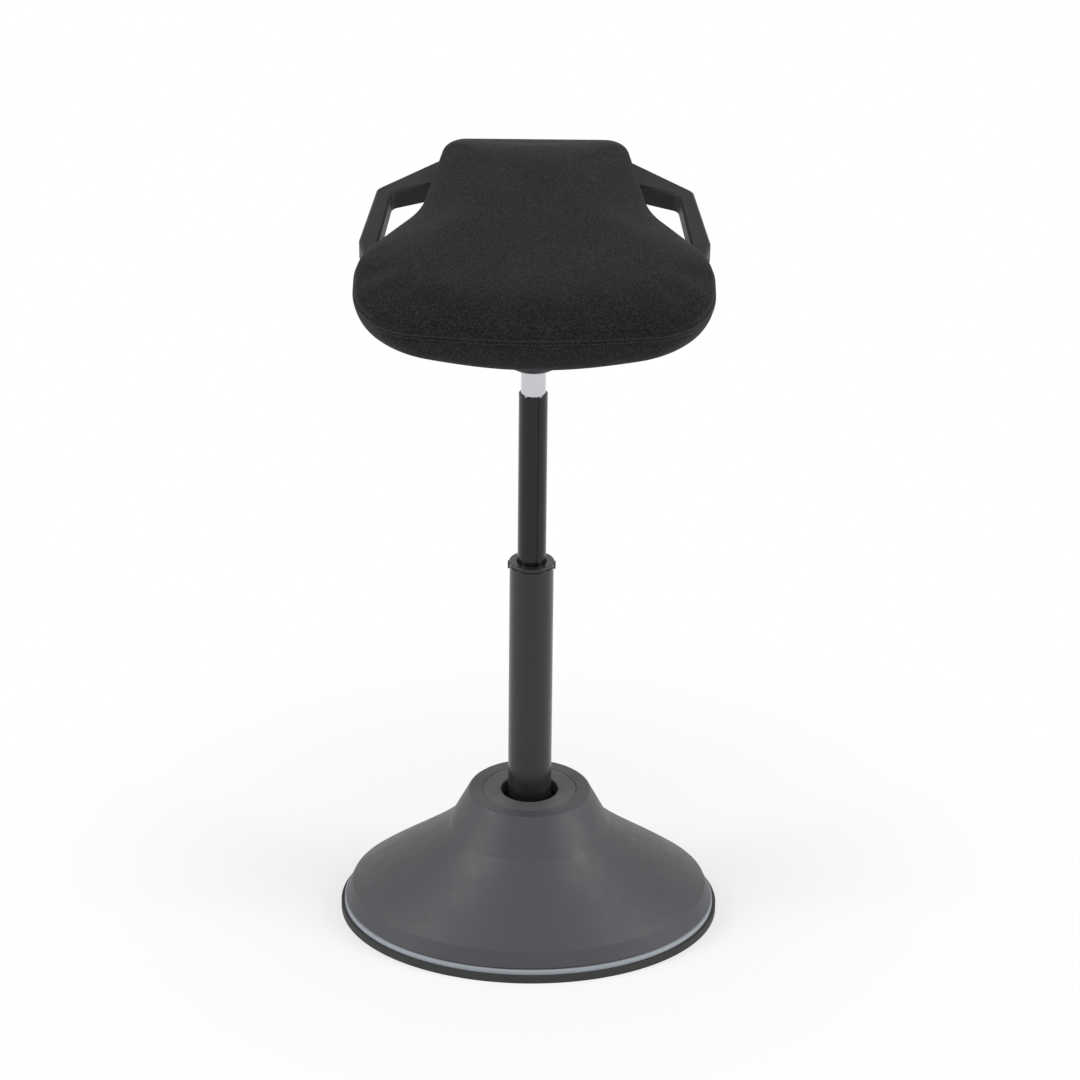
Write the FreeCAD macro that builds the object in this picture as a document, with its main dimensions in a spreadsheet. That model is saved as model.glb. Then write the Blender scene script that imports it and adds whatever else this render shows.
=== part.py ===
import FreeCAD, Part

"""Perch stool: an oval weighted foot with a domed cover, a tilting gas column and a saddle seat.

Frame: millimetres, +Z up, origin on the floor under the middle of the foot.
The wide end of the seat looks along -Y and slopes down that way. X runs across the seat.
The seat pieces are drawn in the seat frame, whose origin is the middle of the board's upper face.
"""

import math
import os

import Sketcher
from FreeCAD import Placement, Rotation, Vector

DOC = FreeCAD.newDocument("perch_stool")
SHEET = DOC.addObject("Spreadsheet::Sheet", "Sizes")
PARTS = []

# Driving dimensions: name, value and meaning.
DRIVING = [
    ("foot_width", 438, "width of the oval foot across X"),
    ("foot_depth", 358, "depth of the oval foot along Y"),
    ("foot_mat_height", 9, "height of the rubber mat at its edge"),
    ("foot_mat_wall", 13.8, "width of the mat's edge outside the plate"),
    ("foot_tread", 14, "width of the ring that the foot stands on, inside the plate's edge"),
    ("foot_disc_radius", 45, "middle disc that the foot stands on"),
    ("foot_dip", 1.2, "depth of the recess between ring and disc"),
    ("plate_lift", 3, "floor to the underside of the base plate"),
    ("plate_thickness", 10, "steel base plate"),
    ("edge_gap", 0.4, "gap between oval pieces that sit inside each other"),
    ("trim_height", 5.5, "light trim ring"),
    ("trim_inset", 4, "trim ring edge inside the foot edge"),
    ("shadow_gap", 2, "dark gap between trim ring and dome"),
    ("dome_inset", 5.5, "dome lower edge inside the foot edge"),
    ("band_inset", 13, "dome upper rim edge inside the foot edge"),
    ("band_height", 17, "rim band of the dome"),
    ("dome_wall", 3, "wall of the dome in the neck and rim"),
    ("dome_wall_run", 5, "wall of the flare, measured level"),
    ("shoulder_level", 55, "level of the flare's shoulder section"),
    ("shoulder_radius", 173, "half width of the shoulder section"),
    ("shoulder_depth", 145, "half depth of the shoulder section"),
    ("waist_level", 82, "level of the flare's middle section"),
    ("waist_radius", 129, "half width of the middle section"),
    ("waist_depth", 119, "half depth of the middle section"),
    ("neck_level", 111, "level where the neck meets the flare"),
    ("neck_radius", 93.5, "neck radius where it meets the flare"),
    ("neck_top_level", 156, "top of the neck"),
    ("neck_top_radius", 70, "neck radius at the top"),
    ("insert_radius", 54, "bore insert in the neck"),
    ("insert_thickness", 6, "flange of the bore insert"),
    ("insert_spigot", 8, "spigot of the bore insert below its flange"),
    ("insert_ledge", 4, "ledge of the neck that carries the insert"),
    ("bore_radius", 32.5, "opening that the column leans about in"),
    ("pivot_level", 105, "centre of the tilting joint"),
    ("ball_radius", 26, "steel ball of the column foot"),
    ("liner_wall", 4, "plastic liner shell around the ball"),
    ("ball_play", 0.05, "running play of the spherical faces"),
    ("housing_flange_radius", 75, "bolted flange of the socket housing"),
    ("housing_flange_height", 8, "flange thickness"),
    ("housing_radius", 48, "socket housing at the cup"),
    ("retainer_thickness", 5, "retainer ring flange"),
    ("retainer_cup_height", 10, "upstand that holds the elastomer ring"),
    ("elastomer_radius", 34, "outer radius of the elastomer ring"),
    ("elastomer_height", 17, "height of the elastomer ring"),
    ("elastomer_gap", 0.3, "gap between the elastomer ring and the tube"),
    ("housing_bolt_circle", 62, "radius of the housing bolt circle"),
    ("housing_bolt_count", 4, "bolts that hold the socket housing"),
    ("housing_bolt_radius", 5, "shank of a housing bolt"),
    ("housing_bolt_head", 8, "head radius of a housing bolt"),
    ("retainer_screw_circle", 42.5, "radius of the retainer screw circle"),
    ("retainer_screw_count", 6, "screws that hold the retainer ring"),
    ("retainer_screw_radius", 2.5, "shank of a retainer screw"),
    ("retainer_screw_head", 4.2, "head radius of a retainer screw"),
    ("cover_screw_circle", 140, "radius of the cover screw circle"),
    ("cover_screw_count", 6, "screws that hold the dome cover"),
    ("cover_screw_radius", 2.4, "shank of a cover screw"),
    ("cover_screw_head", 4.5, "head radius of a cover screw"),
    ("boss_radius", 7, "screw boss inside the dome"),
    ("hole_play", 0.3, "radial play of a screw in its hole"),
    ("neck_of_ball", 15, "radius between the ball and its plug"),
    ("tube_radius", 25, "outer tube of the column"),
    ("tube_wall", 2, "wall of the outer tube"),
    ("tube_bottom", 131, "lower end of the outer tube"),
    ("tube_top", 444, "upper end of the outer tube"),
    ("plug_length", 19, "plug of the ball foot inside the tube"),
    ("clip_room_radius", 12, "recess in the plug around the rod clip"),
    ("clip_room_depth", 9, "depth of that recess"),
    ("rod_plate_thickness", 4, "plate that anchors the piston rod"),
    ("washer_thickness", 2, "thrust washer on the rod plate"),
    ("washer_radius", 14, "outer radius of the thrust washer"),
    ("bump_height", 13, "rubber bump stop"),
    ("bump_radius", 12, "outer radius of the bump stop"),
    ("rod_radius", 5, "piston rod"),
    ("rod_end_radius", 4, "stepped lower end of the piston rod"),
    ("clip_thickness", 1.5, "spring clip on the rod end"),
    ("clip_radius", 8, "outer radius of the rod clip"),
    ("piston_height", 16, "piston inside the gas cylinder"),
    ("rest_play", 2, "play left above the bump stop at the lowest height"),
    ("stroke", 200, "height adjustment"),
    ("cylinder_radius", 14, "chrome gas cylinder"),
    ("cylinder_wall", 1.5, "wall of the gas cylinder"),
    ("cylinder_top", 768, "top of the gas cylinder"),
    ("taper_length", 52, "taper at the top of the gas cylinder"),
    ("taper_small_radius", 12.9, "taper radius at the top"),
    ("guide_height", 22, "rod guide in the foot of the cylinder"),
    ("slide_play", 0.05, "running play of sliding faces"),
    ("sleeve_radius", 16.25, "black sleeve around the cylinder"),
    ("sleeve_wall", 2, "wall of the sleeve"),
    ("sleeve_top", 657, "upper end of the sleeve"),
    ("groove_width", 3, "keyway along the sleeve"),
    ("groove_depth", 1, "depth of the keyway"),
    ("groove_angle", -72, "place of the keyway around Z, from +X"),
    ("lower_guide_height", 14, "guide ring at the foot of the sleeve"),
    ("collar_flange_radius", 25.6, "flange of the guide collar"),
    ("collar_flange_height", 3.6, "thickness of that flange"),
    ("collar_neck_height", 1.9, "dark recess between flange and tube"),
    ("collar_neck_radius", 23.6, "radius of that recess"),
    ("collar_length", 44, "guide collar inside the tube"),
    ("collar_mouth", 1, "chamfer at the mouth of the collar"),
    ("hook_reach", 2, "side hooks outside the tube"),
    ("hook_width", 4, "width of a side hook"),
    ("hook_drop", 4, "how far a side hook reaches down the tube"),
    ("seat_level", 808, "board's upper face on the column axis"),
    ("seat_tilt", 15, "slope of the seat, down towards -Y"),
    ("board_thickness", 12, "plywood seat board"),
    ("mount_thickness", 4, "steel mounting plate"),
    ("mount_width", 140, "mounting plate across X"),
    ("mount_depth", 110, "mounting plate along the seat"),
    ("mount_corner", 15, "corner radius of the mounting plate"),
    ("hub_radius", 19, "taper hub"),
    ("hub_bottom", 712, "lower end of the taper hub"),
    ("seat_bolt_x", 54, "seat bolt from the middle, across"),
    ("seat_bolt_y", 40, "seat bolt from the middle, along"),
    ("seat_bolt_radius", 4, "shank of a seat bolt"),
    ("seat_bolt_head", 7, "head radius of a seat bolt"),
    ("seat_bolt_head_height", 5, "head height of a seat bolt"),
    ("nut_radius", 5.5, "barrel of a tee nut"),
    ("nut_flange_radius", 11, "flange of a tee nut"),
    ("nut_flange_height", 1.5, "flange thickness of a tee nut"),
    ("pod_bottom", 690, "lower end of the mechanism cover"),
    ("pod_bottom_radius", 25, "radius of that end"),
    ("pod_lip_radius", 33, "radius of the cover above its rounded end"),
    ("pod_lip_level", 701, "level of that radius"),
    ("pod_top_radius", 92, "radius of the cover's wide rim"),
    ("pod_top_level", 778, "level where the cover turns upright"),
    ("pod_wall", 2.5, "wall of the mechanism cover"),
    ("pod_slot_width", 22, "lever slot in the cover, along Y"),
    ("pod_slot_bottom", 738, "lower edge of the lever slot"),
    ("pod_slot_top", 768, "upper edge of the lever slot"),
    ("valve_radius", 2.5, "valve pin of the gas cylinder"),
    ("valve_rise", 8, "valve pin above the cylinder at rest"),
    ("lever_radius", 3, "lever rod"),
    ("lever_pivot_x", 25, "lever pivot from the column axis"),
    ("lever_lift", 6, "lever pivot above the valve pin's end"),
    ("lever_bend_x", 62, "outer bend of the lever rod"),
    ("lever_drop", 34, "drop of the lever's outer arm"),
    ("lever_reach", 160, "end of the lever rod"),
    ("grip_length", 46, "paddle at the lever's end"),
    ("grip_width", 30, "width of that paddle"),
    ("grip_thickness", 9, "thickness of that paddle"),
    ("pin_radius", 3, "lever pin"),
    ("fork_gap", 9, "room between the cheeks of the lever fork"),
    ("fork_cheek", 3, "thickness of a cheek"),
    ("pod_screw_run", 72, "pod screws in front of and behind the axis"),
    ("pod_screw_side", 80, "pod screw on the side away from the lever"),
    ("pod_screw_radius", 2, "shank of a pod screw"),
    ("pod_screw_head", 4, "head radius of a pod screw"),
    ("pod_screw_depth", 15, "pod screw head below the board"),
    ("pod_boss_radius", 6.5, "screw boss of the mechanism cover"),
    ("seam_height", 12, "perimeter seam above the board"),
    ("lip_drop", 42, "front lip of the cushion below the board's upper face"),
    ("lip_tuck", 13, "how far the lip is drawn in at its lower edge"),
    ("lip_round", 24, "extra rounding of the front corners at the lip's lower edge"),
    ("lip_bow", 900, "sweep of the lip's lower edge, seen from the front"),
    ("crown_height", 22, "crown above the seam"),
    ("crown_run", 70, "level distance over which the crown rises"),
    ("crown_ease", 10.5, "extra rounding of the crown's corners at its top"),
    ("front_reach", 145.5, "front edge of the cushion, its two sides meeting on the axis"),
    ("front_bow", 19, "how far the front edge falls back towards the lobes"),
    ("lobe_width", 198, "half width over the lobes"),
    ("lobe_reach", 6, "corner behind the lobes, in front of the axis"),
    ("waist_width", 128, "half width at the waist"),
    ("waist_reach", 80, "waist behind the axis"),
    ("end_width", 102, "half width at the narrow end"),
    ("end_reach", 216, "narrow end from the axis"),
    ("front_round", 800, "rounding of the front edge"),
    ("front_corner", 75, "rounding of the front corners"),
    ("lobe_corner", 90, "rounding of the lobes behind"),
    ("waist_corner", 90, "hollow rounding into the waist"),
    ("end_corner", 28, "rounding of the narrow end"),
    ("board_inset", 22, "board edge inside the cushion edge"),
    ("board_ease", 4, "extra rounding of the board's corners"),
    ("pocket_play", 0.6, "cushion clear of the board edge"),
    ("relief_reach", 12, "where the front lip ends on the sides, in front of the axis"),
    ("handle_thickness", 24, "side handles"),
    ("handle_outer_x", 195, "outer corner of a handle"),
    ("handle_outer_y", 47, "outer corner of a handle, along the seat"),
    ("handle_top_x", 177.5, "upper corner of a handle"),
    ("handle_top_y", 144, "upper corner of a handle, along the seat"),
    ("handle_root_x", 95, "end of the handle's outer edge under the cushion"),
    ("handle_root_y", 210, "the same, along the seat"),
    ("handle_front_x", 186, "front end of the handle's outer edge"),
    ("handle_front_y", 8, "the same, along the seat"),
    ("handle_inner_x", 161, "upper corner of the finger opening"),
    ("handle_inner_y", 136, "the same, along the seat"),
    ("handle_low_x", 176, "lower corner of the finger opening"),
    ("handle_low_y", 22, "the same, along the seat"),
    ("handle_edge", 2.5, "chamfer along the handle's upper edges"),
    ("handle_bend", 10, "rounding of the handle's visible corners"),
    ("handle_inner_root_x", 108, "end of the opening's upper edge under the cushion"),
    ("handle_inner_root_y", 156, "the same, along the seat"),
    ("tab_margin", 14, "handle tab around its screws"),
    ("tab_screw_edge", 50, "front handle screws inside the lobe's edge"),
    ("tab_screw_front", 24, "front handle screw in front of the axis"),
    ("tab_screw_pitch", 26, "the two front handle screws apart"),
    ("end_screw_edge", 34, "rear handle screws inside the narrow end's side"),
    ("end_screw_reach", 32, "rear handle screw inside the narrow end"),
    ("end_screw_pitch", 28, "the two rear handle screws apart"),
    ("handle_screw_radius", 3, "shank of a handle screw"),
    ("handle_screw_head", 5.5, "head radius of a handle screw"),
    ("handle_screw_length", 20, "shank length of a handle screw"),
    ("screw_head_height", 3, "head height of the small screws"),
    ("slip_play", 0.05, "play of pieces that are pushed onto each other"),
]


class Size:
    """A length, angle or count that keeps the sheet formula it is worked out from."""

    def __init__(self, value, formula):
        self.value = float(value)
        self.formula = formula

    def __add__(self, other):
        return join(self, "+", other, self.value + number(other))

    def __radd__(self, other):
        return join(other, "+", self, number(other) + self.value)

    def __sub__(self, other):
        return join(self, "-", other, self.value - number(other))

    def __rsub__(self, other):
        return join(other, "-", self, number(other) - self.value)

    def __mul__(self, other):
        return join(self, "*", other, self.value * number(other))

    def __rmul__(self, other):
        return join(other, "*", self, number(other) * self.value)

    def __truediv__(self, other):
        return join(self, "/", other, self.value / number(other))

    def __neg__(self):
        return Size(-self.value, "(-1 * %s)" % self.formula)


def number(thing):
    return thing.value if isinstance(thing, Size) else float(thing)


def text(thing):
    return thing.formula if isinstance(thing, Size) else "%.9g" % thing


def join(left, sign, right, value):
    return Size(value, "(%s %s %s)" % (text(left), sign, text(right)))


def cosine(angle):
    return Size(math.cos(math.radians(angle.value)), "cos(%s)" % angle.formula)


def root(size):
    return Size(math.sqrt(size.value), "sqrt(%s)" % size.formula)


def fill_sheet():
    sizes = {}
    for row, (name, value, meaning) in enumerate(DRIVING, start=1):
        SHEET.set("A%d" % row, name)
        SHEET.set("B%d" % row, str(value))
        SHEET.setAlias("B%d" % row, name)
        SHEET.set("C%d" % row, meaning)
        sizes[name] = Size(value, "Sizes.%s" % name)
    DOC.recompute()
    return sizes


S = fill_sheet()


class Plan:
    """Sizes that several pieces share, each worked out once from the sheet."""

    half_width = S["foot_width"] / 2
    half_depth = S["foot_depth"] / 2
    plate_top = S["plate_lift"] + S["plate_thickness"]
    trim_top = S["foot_mat_height"] + S["trim_height"]
    dome_bottom = trim_top + S["shadow_gap"]
    rim_level = dome_bottom + S["band_height"]
    liner_radius = S["ball_radius"] + S["ball_play"] + S["liner_wall"]
    socket_radius = liner_radius + S["ball_play"]
    split_level = S["pivot_level"] + 11
    retainer_top = split_level + S["retainer_thickness"]
    elastomer_bottom = retainer_top + 1
    tube_bore = S["tube_radius"] - S["tube_wall"]
    plug_top = S["tube_bottom"] + S["plug_length"]
    rod_plate_top = plug_top + S["rod_plate_thickness"]
    washer_top = rod_plate_top + S["washer_thickness"]
    bump_top = washer_top + S["bump_height"]
    cylinder_bottom = bump_top + S["rest_play"] + S["stroke"]
    cylinder_bore = S["cylinder_radius"] - S["cylinder_wall"]
    guide_top = cylinder_bottom + S["guide_height"]
    piston_bottom = guide_top + 3
    sleeve_bore = S["sleeve_radius"] - S["sleeve_wall"]
    lower_guide_top = cylinder_bottom + S["lower_guide_height"]
    collar_bore = S["sleeve_radius"] + S["slide_play"]
    collar_top = S["tube_top"] + S["collar_neck_height"] + S["collar_flange_height"]
    valve_top = S["cylinder_top"] + S["valve_rise"]
    lever_level = valve_top + S["lever_lift"]
    board_bottom = -S["board_thickness"]
    plate_face = board_bottom - S["mount_thickness"]


# Sketching


def new_body(name):
    body = DOC.addObject("PartDesign::Body", name)
    body.Label = name
    return body


def origin_feature(body, role):
    return next(item for item in body.Origin.OriginFeatures if item.Role == role)


def new_sketch(body, name, role="XY_Plane", level=None):
    sketch = body.newObject("Sketcher::SketchObject", name)
    sketch.AttachmentSupport = [(origin_feature(body, role), "")]
    sketch.MapMode = "FlatFace"
    if level is not None:
        sketch.AttachmentOffset = Placement(Vector(0, 0, number(level)), Rotation())
        sketch.setExpression("AttachmentOffset.Base.z", text(level))
    return sketch


def pin_coordinate(sketch, kind, geometry, end, size):
    """Tie one coordinate of a point to the sheet, or to an axis where it is zero."""
    value = number(size)
    if value == 0:
        sketch.addConstraint(Sketcher.Constraint("PointOnObject", geometry, end, -2 if kind == "DistanceX" else -1))
        return
    if value > 0:
        index = sketch.addConstraint(Sketcher.Constraint(kind, -1, 1, geometry, end, value))
        formula = text(size)
    else:
        index = sketch.addConstraint(Sketcher.Constraint(kind, geometry, end, -1, 1, -value))
        formula = "-1 * %s" % text(size)
    if isinstance(size, Size):
        sketch.setExpression("Constraints[%d]" % index, formula)


def pin_point(sketch, geometry, end, x, y):
    pin_coordinate(sketch, "DistanceX", geometry, end, x)
    pin_coordinate(sketch, "DistanceY", geometry, end, y)


def pin_radius(sketch, geometry, radius):
    index = sketch.addConstraint(Sketcher.Constraint("Radius", geometry, number(radius)))
    if isinstance(radius, Size):
        sketch.setExpression("Constraints[%d]" % index, text(radius))


def corner_geometry(before, here, after, radius):
    """The arc that rounds a corner, with its two ends, worked out from plain numbers."""
    to_before = (before - here).normalize()
    to_after = (after - here).normalize()
    half_angle = to_before.getAngle(to_after) / 2
    reach = radius / math.tan(half_angle)
    first = here + to_before * reach
    last = here + to_after * reach
    centre = here + (to_before + to_after).normalize() * (radius / math.sin(half_angle))
    return centre, first, last


def draw_outline(sketch, corners):
    """A closed outline of lines. A corner is (x, y), or (x, y, radius) where it is rounded."""
    count = len(corners)
    places = [Vector(number(corner[0]), number(corner[1]), 0) for corner in corners]
    rounded = [len(corner) == 3 for corner in corners]
    arcs = {}
    starts = list(places)
    ends = list(places)
    for i in range(count):
        if rounded[i]:
            before, after = places[i - 1], places[(i + 1) % count]
            centre, first, last = corner_geometry(before, places[i], after, number(corners[i][2]))
            ends[i], starts[i] = first, last
            turn = (places[i] - before).cross(after - places[i]).z
            angle_first = math.atan2(first.y - centre.y, first.x - centre.x)
            angle_last = math.atan2(last.y - centre.y, last.x - centre.x)
            span = (angle_first, angle_last) if turn > 0 else (angle_last, angle_first)
            circle = Part.Circle(centre, Vector(0, 0, 1), number(corners[i][2]))
            arc = sketch.addGeometry(Part.ArcOfCircle(circle, *span), False)
            arcs[i] = (arc, 1 if turn > 0 else 2, 2 if turn > 0 else 1)
    lines = []
    for i in range(count):
        line = Part.LineSegment(starts[i], ends[(i + 1) % count])
        lines.append(sketch.addGeometry(line, False))
    for i, corner in enumerate(corners):
        line_in, line_out = lines[i - 1], lines[i]
        if rounded[i]:
            arc, arc_in, arc_out = arcs[i]
            mark = sketch.addGeometry(Part.Point(places[i]), True)
            pin_point(sketch, mark, 1, corner[0], corner[1])
            sketch.addConstraint(Sketcher.Constraint("PointOnObject", mark, 1, line_in))
            sketch.addConstraint(Sketcher.Constraint("PointOnObject", mark, 1, line_out))
            sketch.addConstraint(Sketcher.Constraint("Tangent", arc, arc_in, line_in, 2))
            sketch.addConstraint(Sketcher.Constraint("Tangent", arc, arc_out, line_out, 1))
            pin_radius(sketch, arc, corner[2])
        else:
            sketch.addConstraint(Sketcher.Constraint("Coincident", line_in, 2, line_out, 1))
            pin_point(sketch, line_out, 1, corner[0], corner[1])
    return lines


def draw_path(sketch, corners):
    """An open run of lines with rounded corners, for a bent rod."""
    places = [Vector(number(corner[0]), number(corner[1]), 0) for corner in corners]
    start = places[0]
    previous = None
    for i in range(1, len(corners)):
        if len(corners[i]) == 2:
            line = sketch.addGeometry(Part.LineSegment(start, places[i]), False)
            pin_point(sketch, line, 2, corners[i][0], corners[i][1])
        else:
            radius = number(corners[i][2])
            centre, first, last = corner_geometry(places[i - 1], places[i], places[i + 1], radius)
            line = sketch.addGeometry(Part.LineSegment(start, first), False)
        if previous is None:
            pin_point(sketch, line, 1, corners[0][0], corners[0][1])
        else:
            arc, arc_out, mark = previous
            sketch.addConstraint(Sketcher.Constraint("Tangent", arc, arc_out, line, 1))
            sketch.addConstraint(Sketcher.Constraint("PointOnObject", mark, 1, line))
        if len(corners[i]) == 3:
            turn = (places[i] - places[i - 1]).cross(places[i + 1] - places[i]).z
            angle_first = math.atan2(first.y - centre.y, first.x - centre.x)
            angle_last = math.atan2(last.y - centre.y, last.x - centre.x)
            span = (angle_first, angle_last) if turn > 0 else (angle_last, angle_first)
            arc = sketch.addGeometry(Part.ArcOfCircle(Part.Circle(centre, Vector(0, 0, 1), radius), *span), False)
            arc_in, arc_out = (1, 2) if turn > 0 else (2, 1)
            mark = sketch.addGeometry(Part.Point(places[i]), True)
            pin_point(sketch, mark, 1, corners[i][0], corners[i][1])
            sketch.addConstraint(Sketcher.Constraint("PointOnObject", mark, 1, line))
            sketch.addConstraint(Sketcher.Constraint("Tangent", arc, arc_in, line, 2))
            pin_radius(sketch, arc, corners[i][2])
            previous = (arc, arc_out, mark)
            start = last


def draw_circle(sketch, radius, x=0, y=0):
    circle = Part.Circle(Vector(number(x), number(y), 0), Vector(0, 0, 1), number(radius))
    geometry = sketch.addGeometry(circle, False)
    pin_radius(sketch, geometry, radius)
    if number(x) == 0 and number(y) == 0:
        sketch.addConstraint(Sketcher.Constraint("Coincident", geometry, 3, -1, 1))
    else:
        pin_point(sketch, geometry, 3, x, y)


# Features


def revolved(body, name, corners, role="XZ_Plane"):
    """Turn a closed outline, drawn as (radius, level), about the body's Z axis."""
    sketch = new_sketch(body, name + "_profile", role)
    draw_outline(sketch, corners)
    feature = body.newObject("PartDesign::Revolution", name)
    feature.Profile = sketch
    feature.ReferenceAxis = (sketch, ["V_Axis"])
    feature.Angle = 360
    return feature


def grooved(body, name, corners):
    sketch = new_sketch(body, name + "_profile", "XZ_Plane")
    draw_outline(sketch, corners)
    feature = body.newObject("PartDesign::Groove", name)
    feature.Profile = sketch
    feature.ReferenceAxis = (sketch, ["V_Axis"])
    feature.Angle = 360
    return feature


def padded(body, name, sketch, length, reverse=False):
    feature = body.newObject("PartDesign::Pad", name)
    feature.Profile = sketch
    feature.Length = number(length)
    feature.setExpression("Length", text(length))
    feature.Reversed = reverse
    return feature


def pocketed(body, name, sketch, length):
    """Cut downwards from the sketch, away from the side that its plane faces."""
    feature = body.newObject("PartDesign::Pocket", name)
    feature.Profile = sketch
    feature.Length = number(length)
    feature.setExpression("Length", text(length))
    return feature


def polar(body, name, feature, count):
    pattern = body.newObject("PartDesign::PolarPattern", name)
    pattern.Originals = [feature]
    pattern.Axis = (origin_feature(body, "Z_Axis"), [""])
    pattern.Angle = 360
    pattern.Occurrences = int(number(count))
    pattern.setExpression("Occurrences", text(count))
    body.Tip = pattern
    return pattern


def bind(item, **sizes):
    """Set a primitive's sizes and tie them to the sheet. base_x, base_y and base_z place it."""
    places = {"base_x": "x", "base_y": "y", "base_z": "z"}
    for name, size in sizes.items():
        if name in places:
            base = item.Placement.Base
            setattr(base, places[name], number(size))
            item.Placement = Placement(base, item.Placement.Rotation)
            item.setExpression("Placement.Base." + places[name], text(size))
        else:
            setattr(item, name, number(size))
            item.setExpression(name, text(size))
    return item


def cylinder(name, radius, height, x=0, y=0, z=0):
    item = DOC.addObject("Part::Cylinder", name)
    return bind(item, Radius=radius, Height=height, base_x=x, base_y=y, base_z=z)


def boolean(kind, name, *items):
    item = DOC.addObject("Part::" + kind, name)
    if kind in ("MultiFuse", "MultiCommon"):
        item.Shapes = list(items)
    elif kind == "Compound":
        item.Links = list(items)
    else:
        item.Base, item.Tool = items
    return item


def oval(name, half_width, half_depth, level):
    item = DOC.addObject("Part::Ellipse", name)
    return bind(item, MajorRadius=half_width, MinorRadius=half_depth, base_z=level)


def loft(name, sections, ruled):
    item = DOC.addObject("Part::Loft", name)
    item.Sections = sections
    item.Solid = True
    item.Ruled = ruled
    return item


def oval_plate(name, half_width, half_depth, level, height):
    """A flat oval plate between two equal ovals."""
    low = oval(name + "_low", half_width, half_depth, level)
    high = oval(name + "_high", half_width, half_depth, level + height)
    return loft(name, [low, high], True)


def named(item, label):
    """Take an object as a finished sub-part."""
    item.Label = label
    PARTS.append(item)
    return item


def on_seat(item):
    """Move a piece drawn in the seat frame to its place on the stool."""
    item.Placement = Placement(Vector(0, 0, S["seat_level"].value), Rotation(Vector(1, 0, 0), S["seat_tilt"].value))
    item.setExpression("Placement.Base.z", S["seat_level"].formula)
    item.setExpression("Placement.Rotation.Angle", S["seat_tilt"].formula)
    return item


# Foot and dome


def make_foot_mat():
    """Rubber mat whose edge wraps the plate. A shallow recess leaves a ring and a middle disc to stand on."""
    outer = oval_plate("foot_outer", Plan.half_width, Plan.half_depth, Size(0, "0"), S["foot_mat_height"])
    step_width = Plan.half_width - S["foot_mat_wall"]
    step_depth = Plan.half_depth - S["foot_mat_wall"]
    rest = oval_plate("foot_rest", step_width, step_depth, S["plate_lift"], S["foot_mat_height"])
    dip_width = step_width - S["foot_tread"]
    dip_depth = step_depth - S["foot_tread"]
    dip = oval_plate("foot_dip", dip_width, dip_depth, -S["foot_dip"], S["foot_dip"] * 2)
    middle = cylinder("foot_middle", S["foot_disc_radius"], S["foot_dip"] * 2, 0, 0, -S["foot_dip"])
    dip_ring = boolean("Cut", "foot_dip_ring", dip, middle)
    named(boolean("Cut", "foot_mat_dipped", boolean("Cut", "foot_mat_step", outer, rest), dip_ring), "foot_mat")


def make_base_plate():
    half_width = Plan.half_width - S["foot_mat_wall"] - S["edge_gap"]
    half_depth = Plan.half_depth - S["foot_mat_wall"] - S["edge_gap"]
    plate = oval_plate("plate_blank", half_width, half_depth, S["plate_lift"], S["plate_thickness"])
    tools = []
    deep = S["plate_thickness"] + 2
    below = S["plate_lift"] - 1
    for x, y in ring_places(S["housing_bolt_circle"], S["housing_bolt_count"], 45):
        tools.append(cylinder("plate_bolt_hole", S["housing_bolt_radius"] + S["slide_play"], deep, x, y, below))
    for x, y in ring_places(S["cover_screw_circle"], S["cover_screw_count"], 0):
        tools.append(cylinder("plate_screw_hole", S["cover_screw_radius"] + S["hole_play"], deep, x, y, below))
        sunk = S["screw_head_height"] + S["hole_play"] + 1
        tools.append(cylinder("plate_screw_sink", S["cover_screw_head"] + S["hole_play"], sunk, x, y, below))
    named(boolean("Cut", "base_plate", plate, boolean("MultiFuse", "plate_holes", *tools)), "base_plate")


def ring_places(radius, count, start):
    """Places on a circle: pairs of x and y, as sizes."""
    places = []
    for i in range(int(number(count))):
        angle = math.radians(start + 360.0 * i / number(count))
        places.append((radius * round(math.cos(angle), 9), radius * round(math.sin(angle), 9)))
    return places


def make_trim_ring():
    outer_width = Plan.half_width - S["trim_inset"]
    outer_depth = Plan.half_depth - S["trim_inset"]
    inner_width = Plan.half_width - S["foot_mat_wall"] + S["edge_gap"]
    inner_depth = Plan.half_depth - S["foot_mat_wall"] + S["edge_gap"]
    outer = oval_plate("trim_outer", outer_width, outer_depth, S["foot_mat_height"], S["trim_height"])
    inner = oval_plate("trim_inner", inner_width, inner_depth, S["foot_mat_height"] - 1, S["trim_height"] + 2)
    named(boolean("Cut", "trim_ring", outer, inner), "trim_ring")


def dome_sections(prefix, wall, run):
    """Ovals of the dome from its lower edge to the neck, drawn in by a wall."""
    low = oval(prefix + "_low", Plan.half_width - S["dome_inset"] - wall,
               Plan.half_depth - S["dome_inset"] - wall, Plan.dome_bottom)
    rim = oval(prefix + "_rim", Plan.half_width - S["band_inset"] - run,
               Plan.half_depth - S["band_inset"] - run, Plan.rim_level)
    shoulder = oval(prefix + "_shoulder", S["shoulder_radius"] - run, S["shoulder_depth"] - run, S["shoulder_level"])
    waist = oval(prefix + "_waist", S["waist_radius"] - run, S["waist_depth"] - run, S["waist_level"])
    neck = oval(prefix + "_neck", S["neck_radius"] - run, S["neck_radius"] - run, S["neck_level"])
    band = loft(prefix + "_band", [low, rim], True)
    flare = loft(prefix + "_flare", [rim, shoulder, waist, neck], False)
    return band, flare


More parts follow.
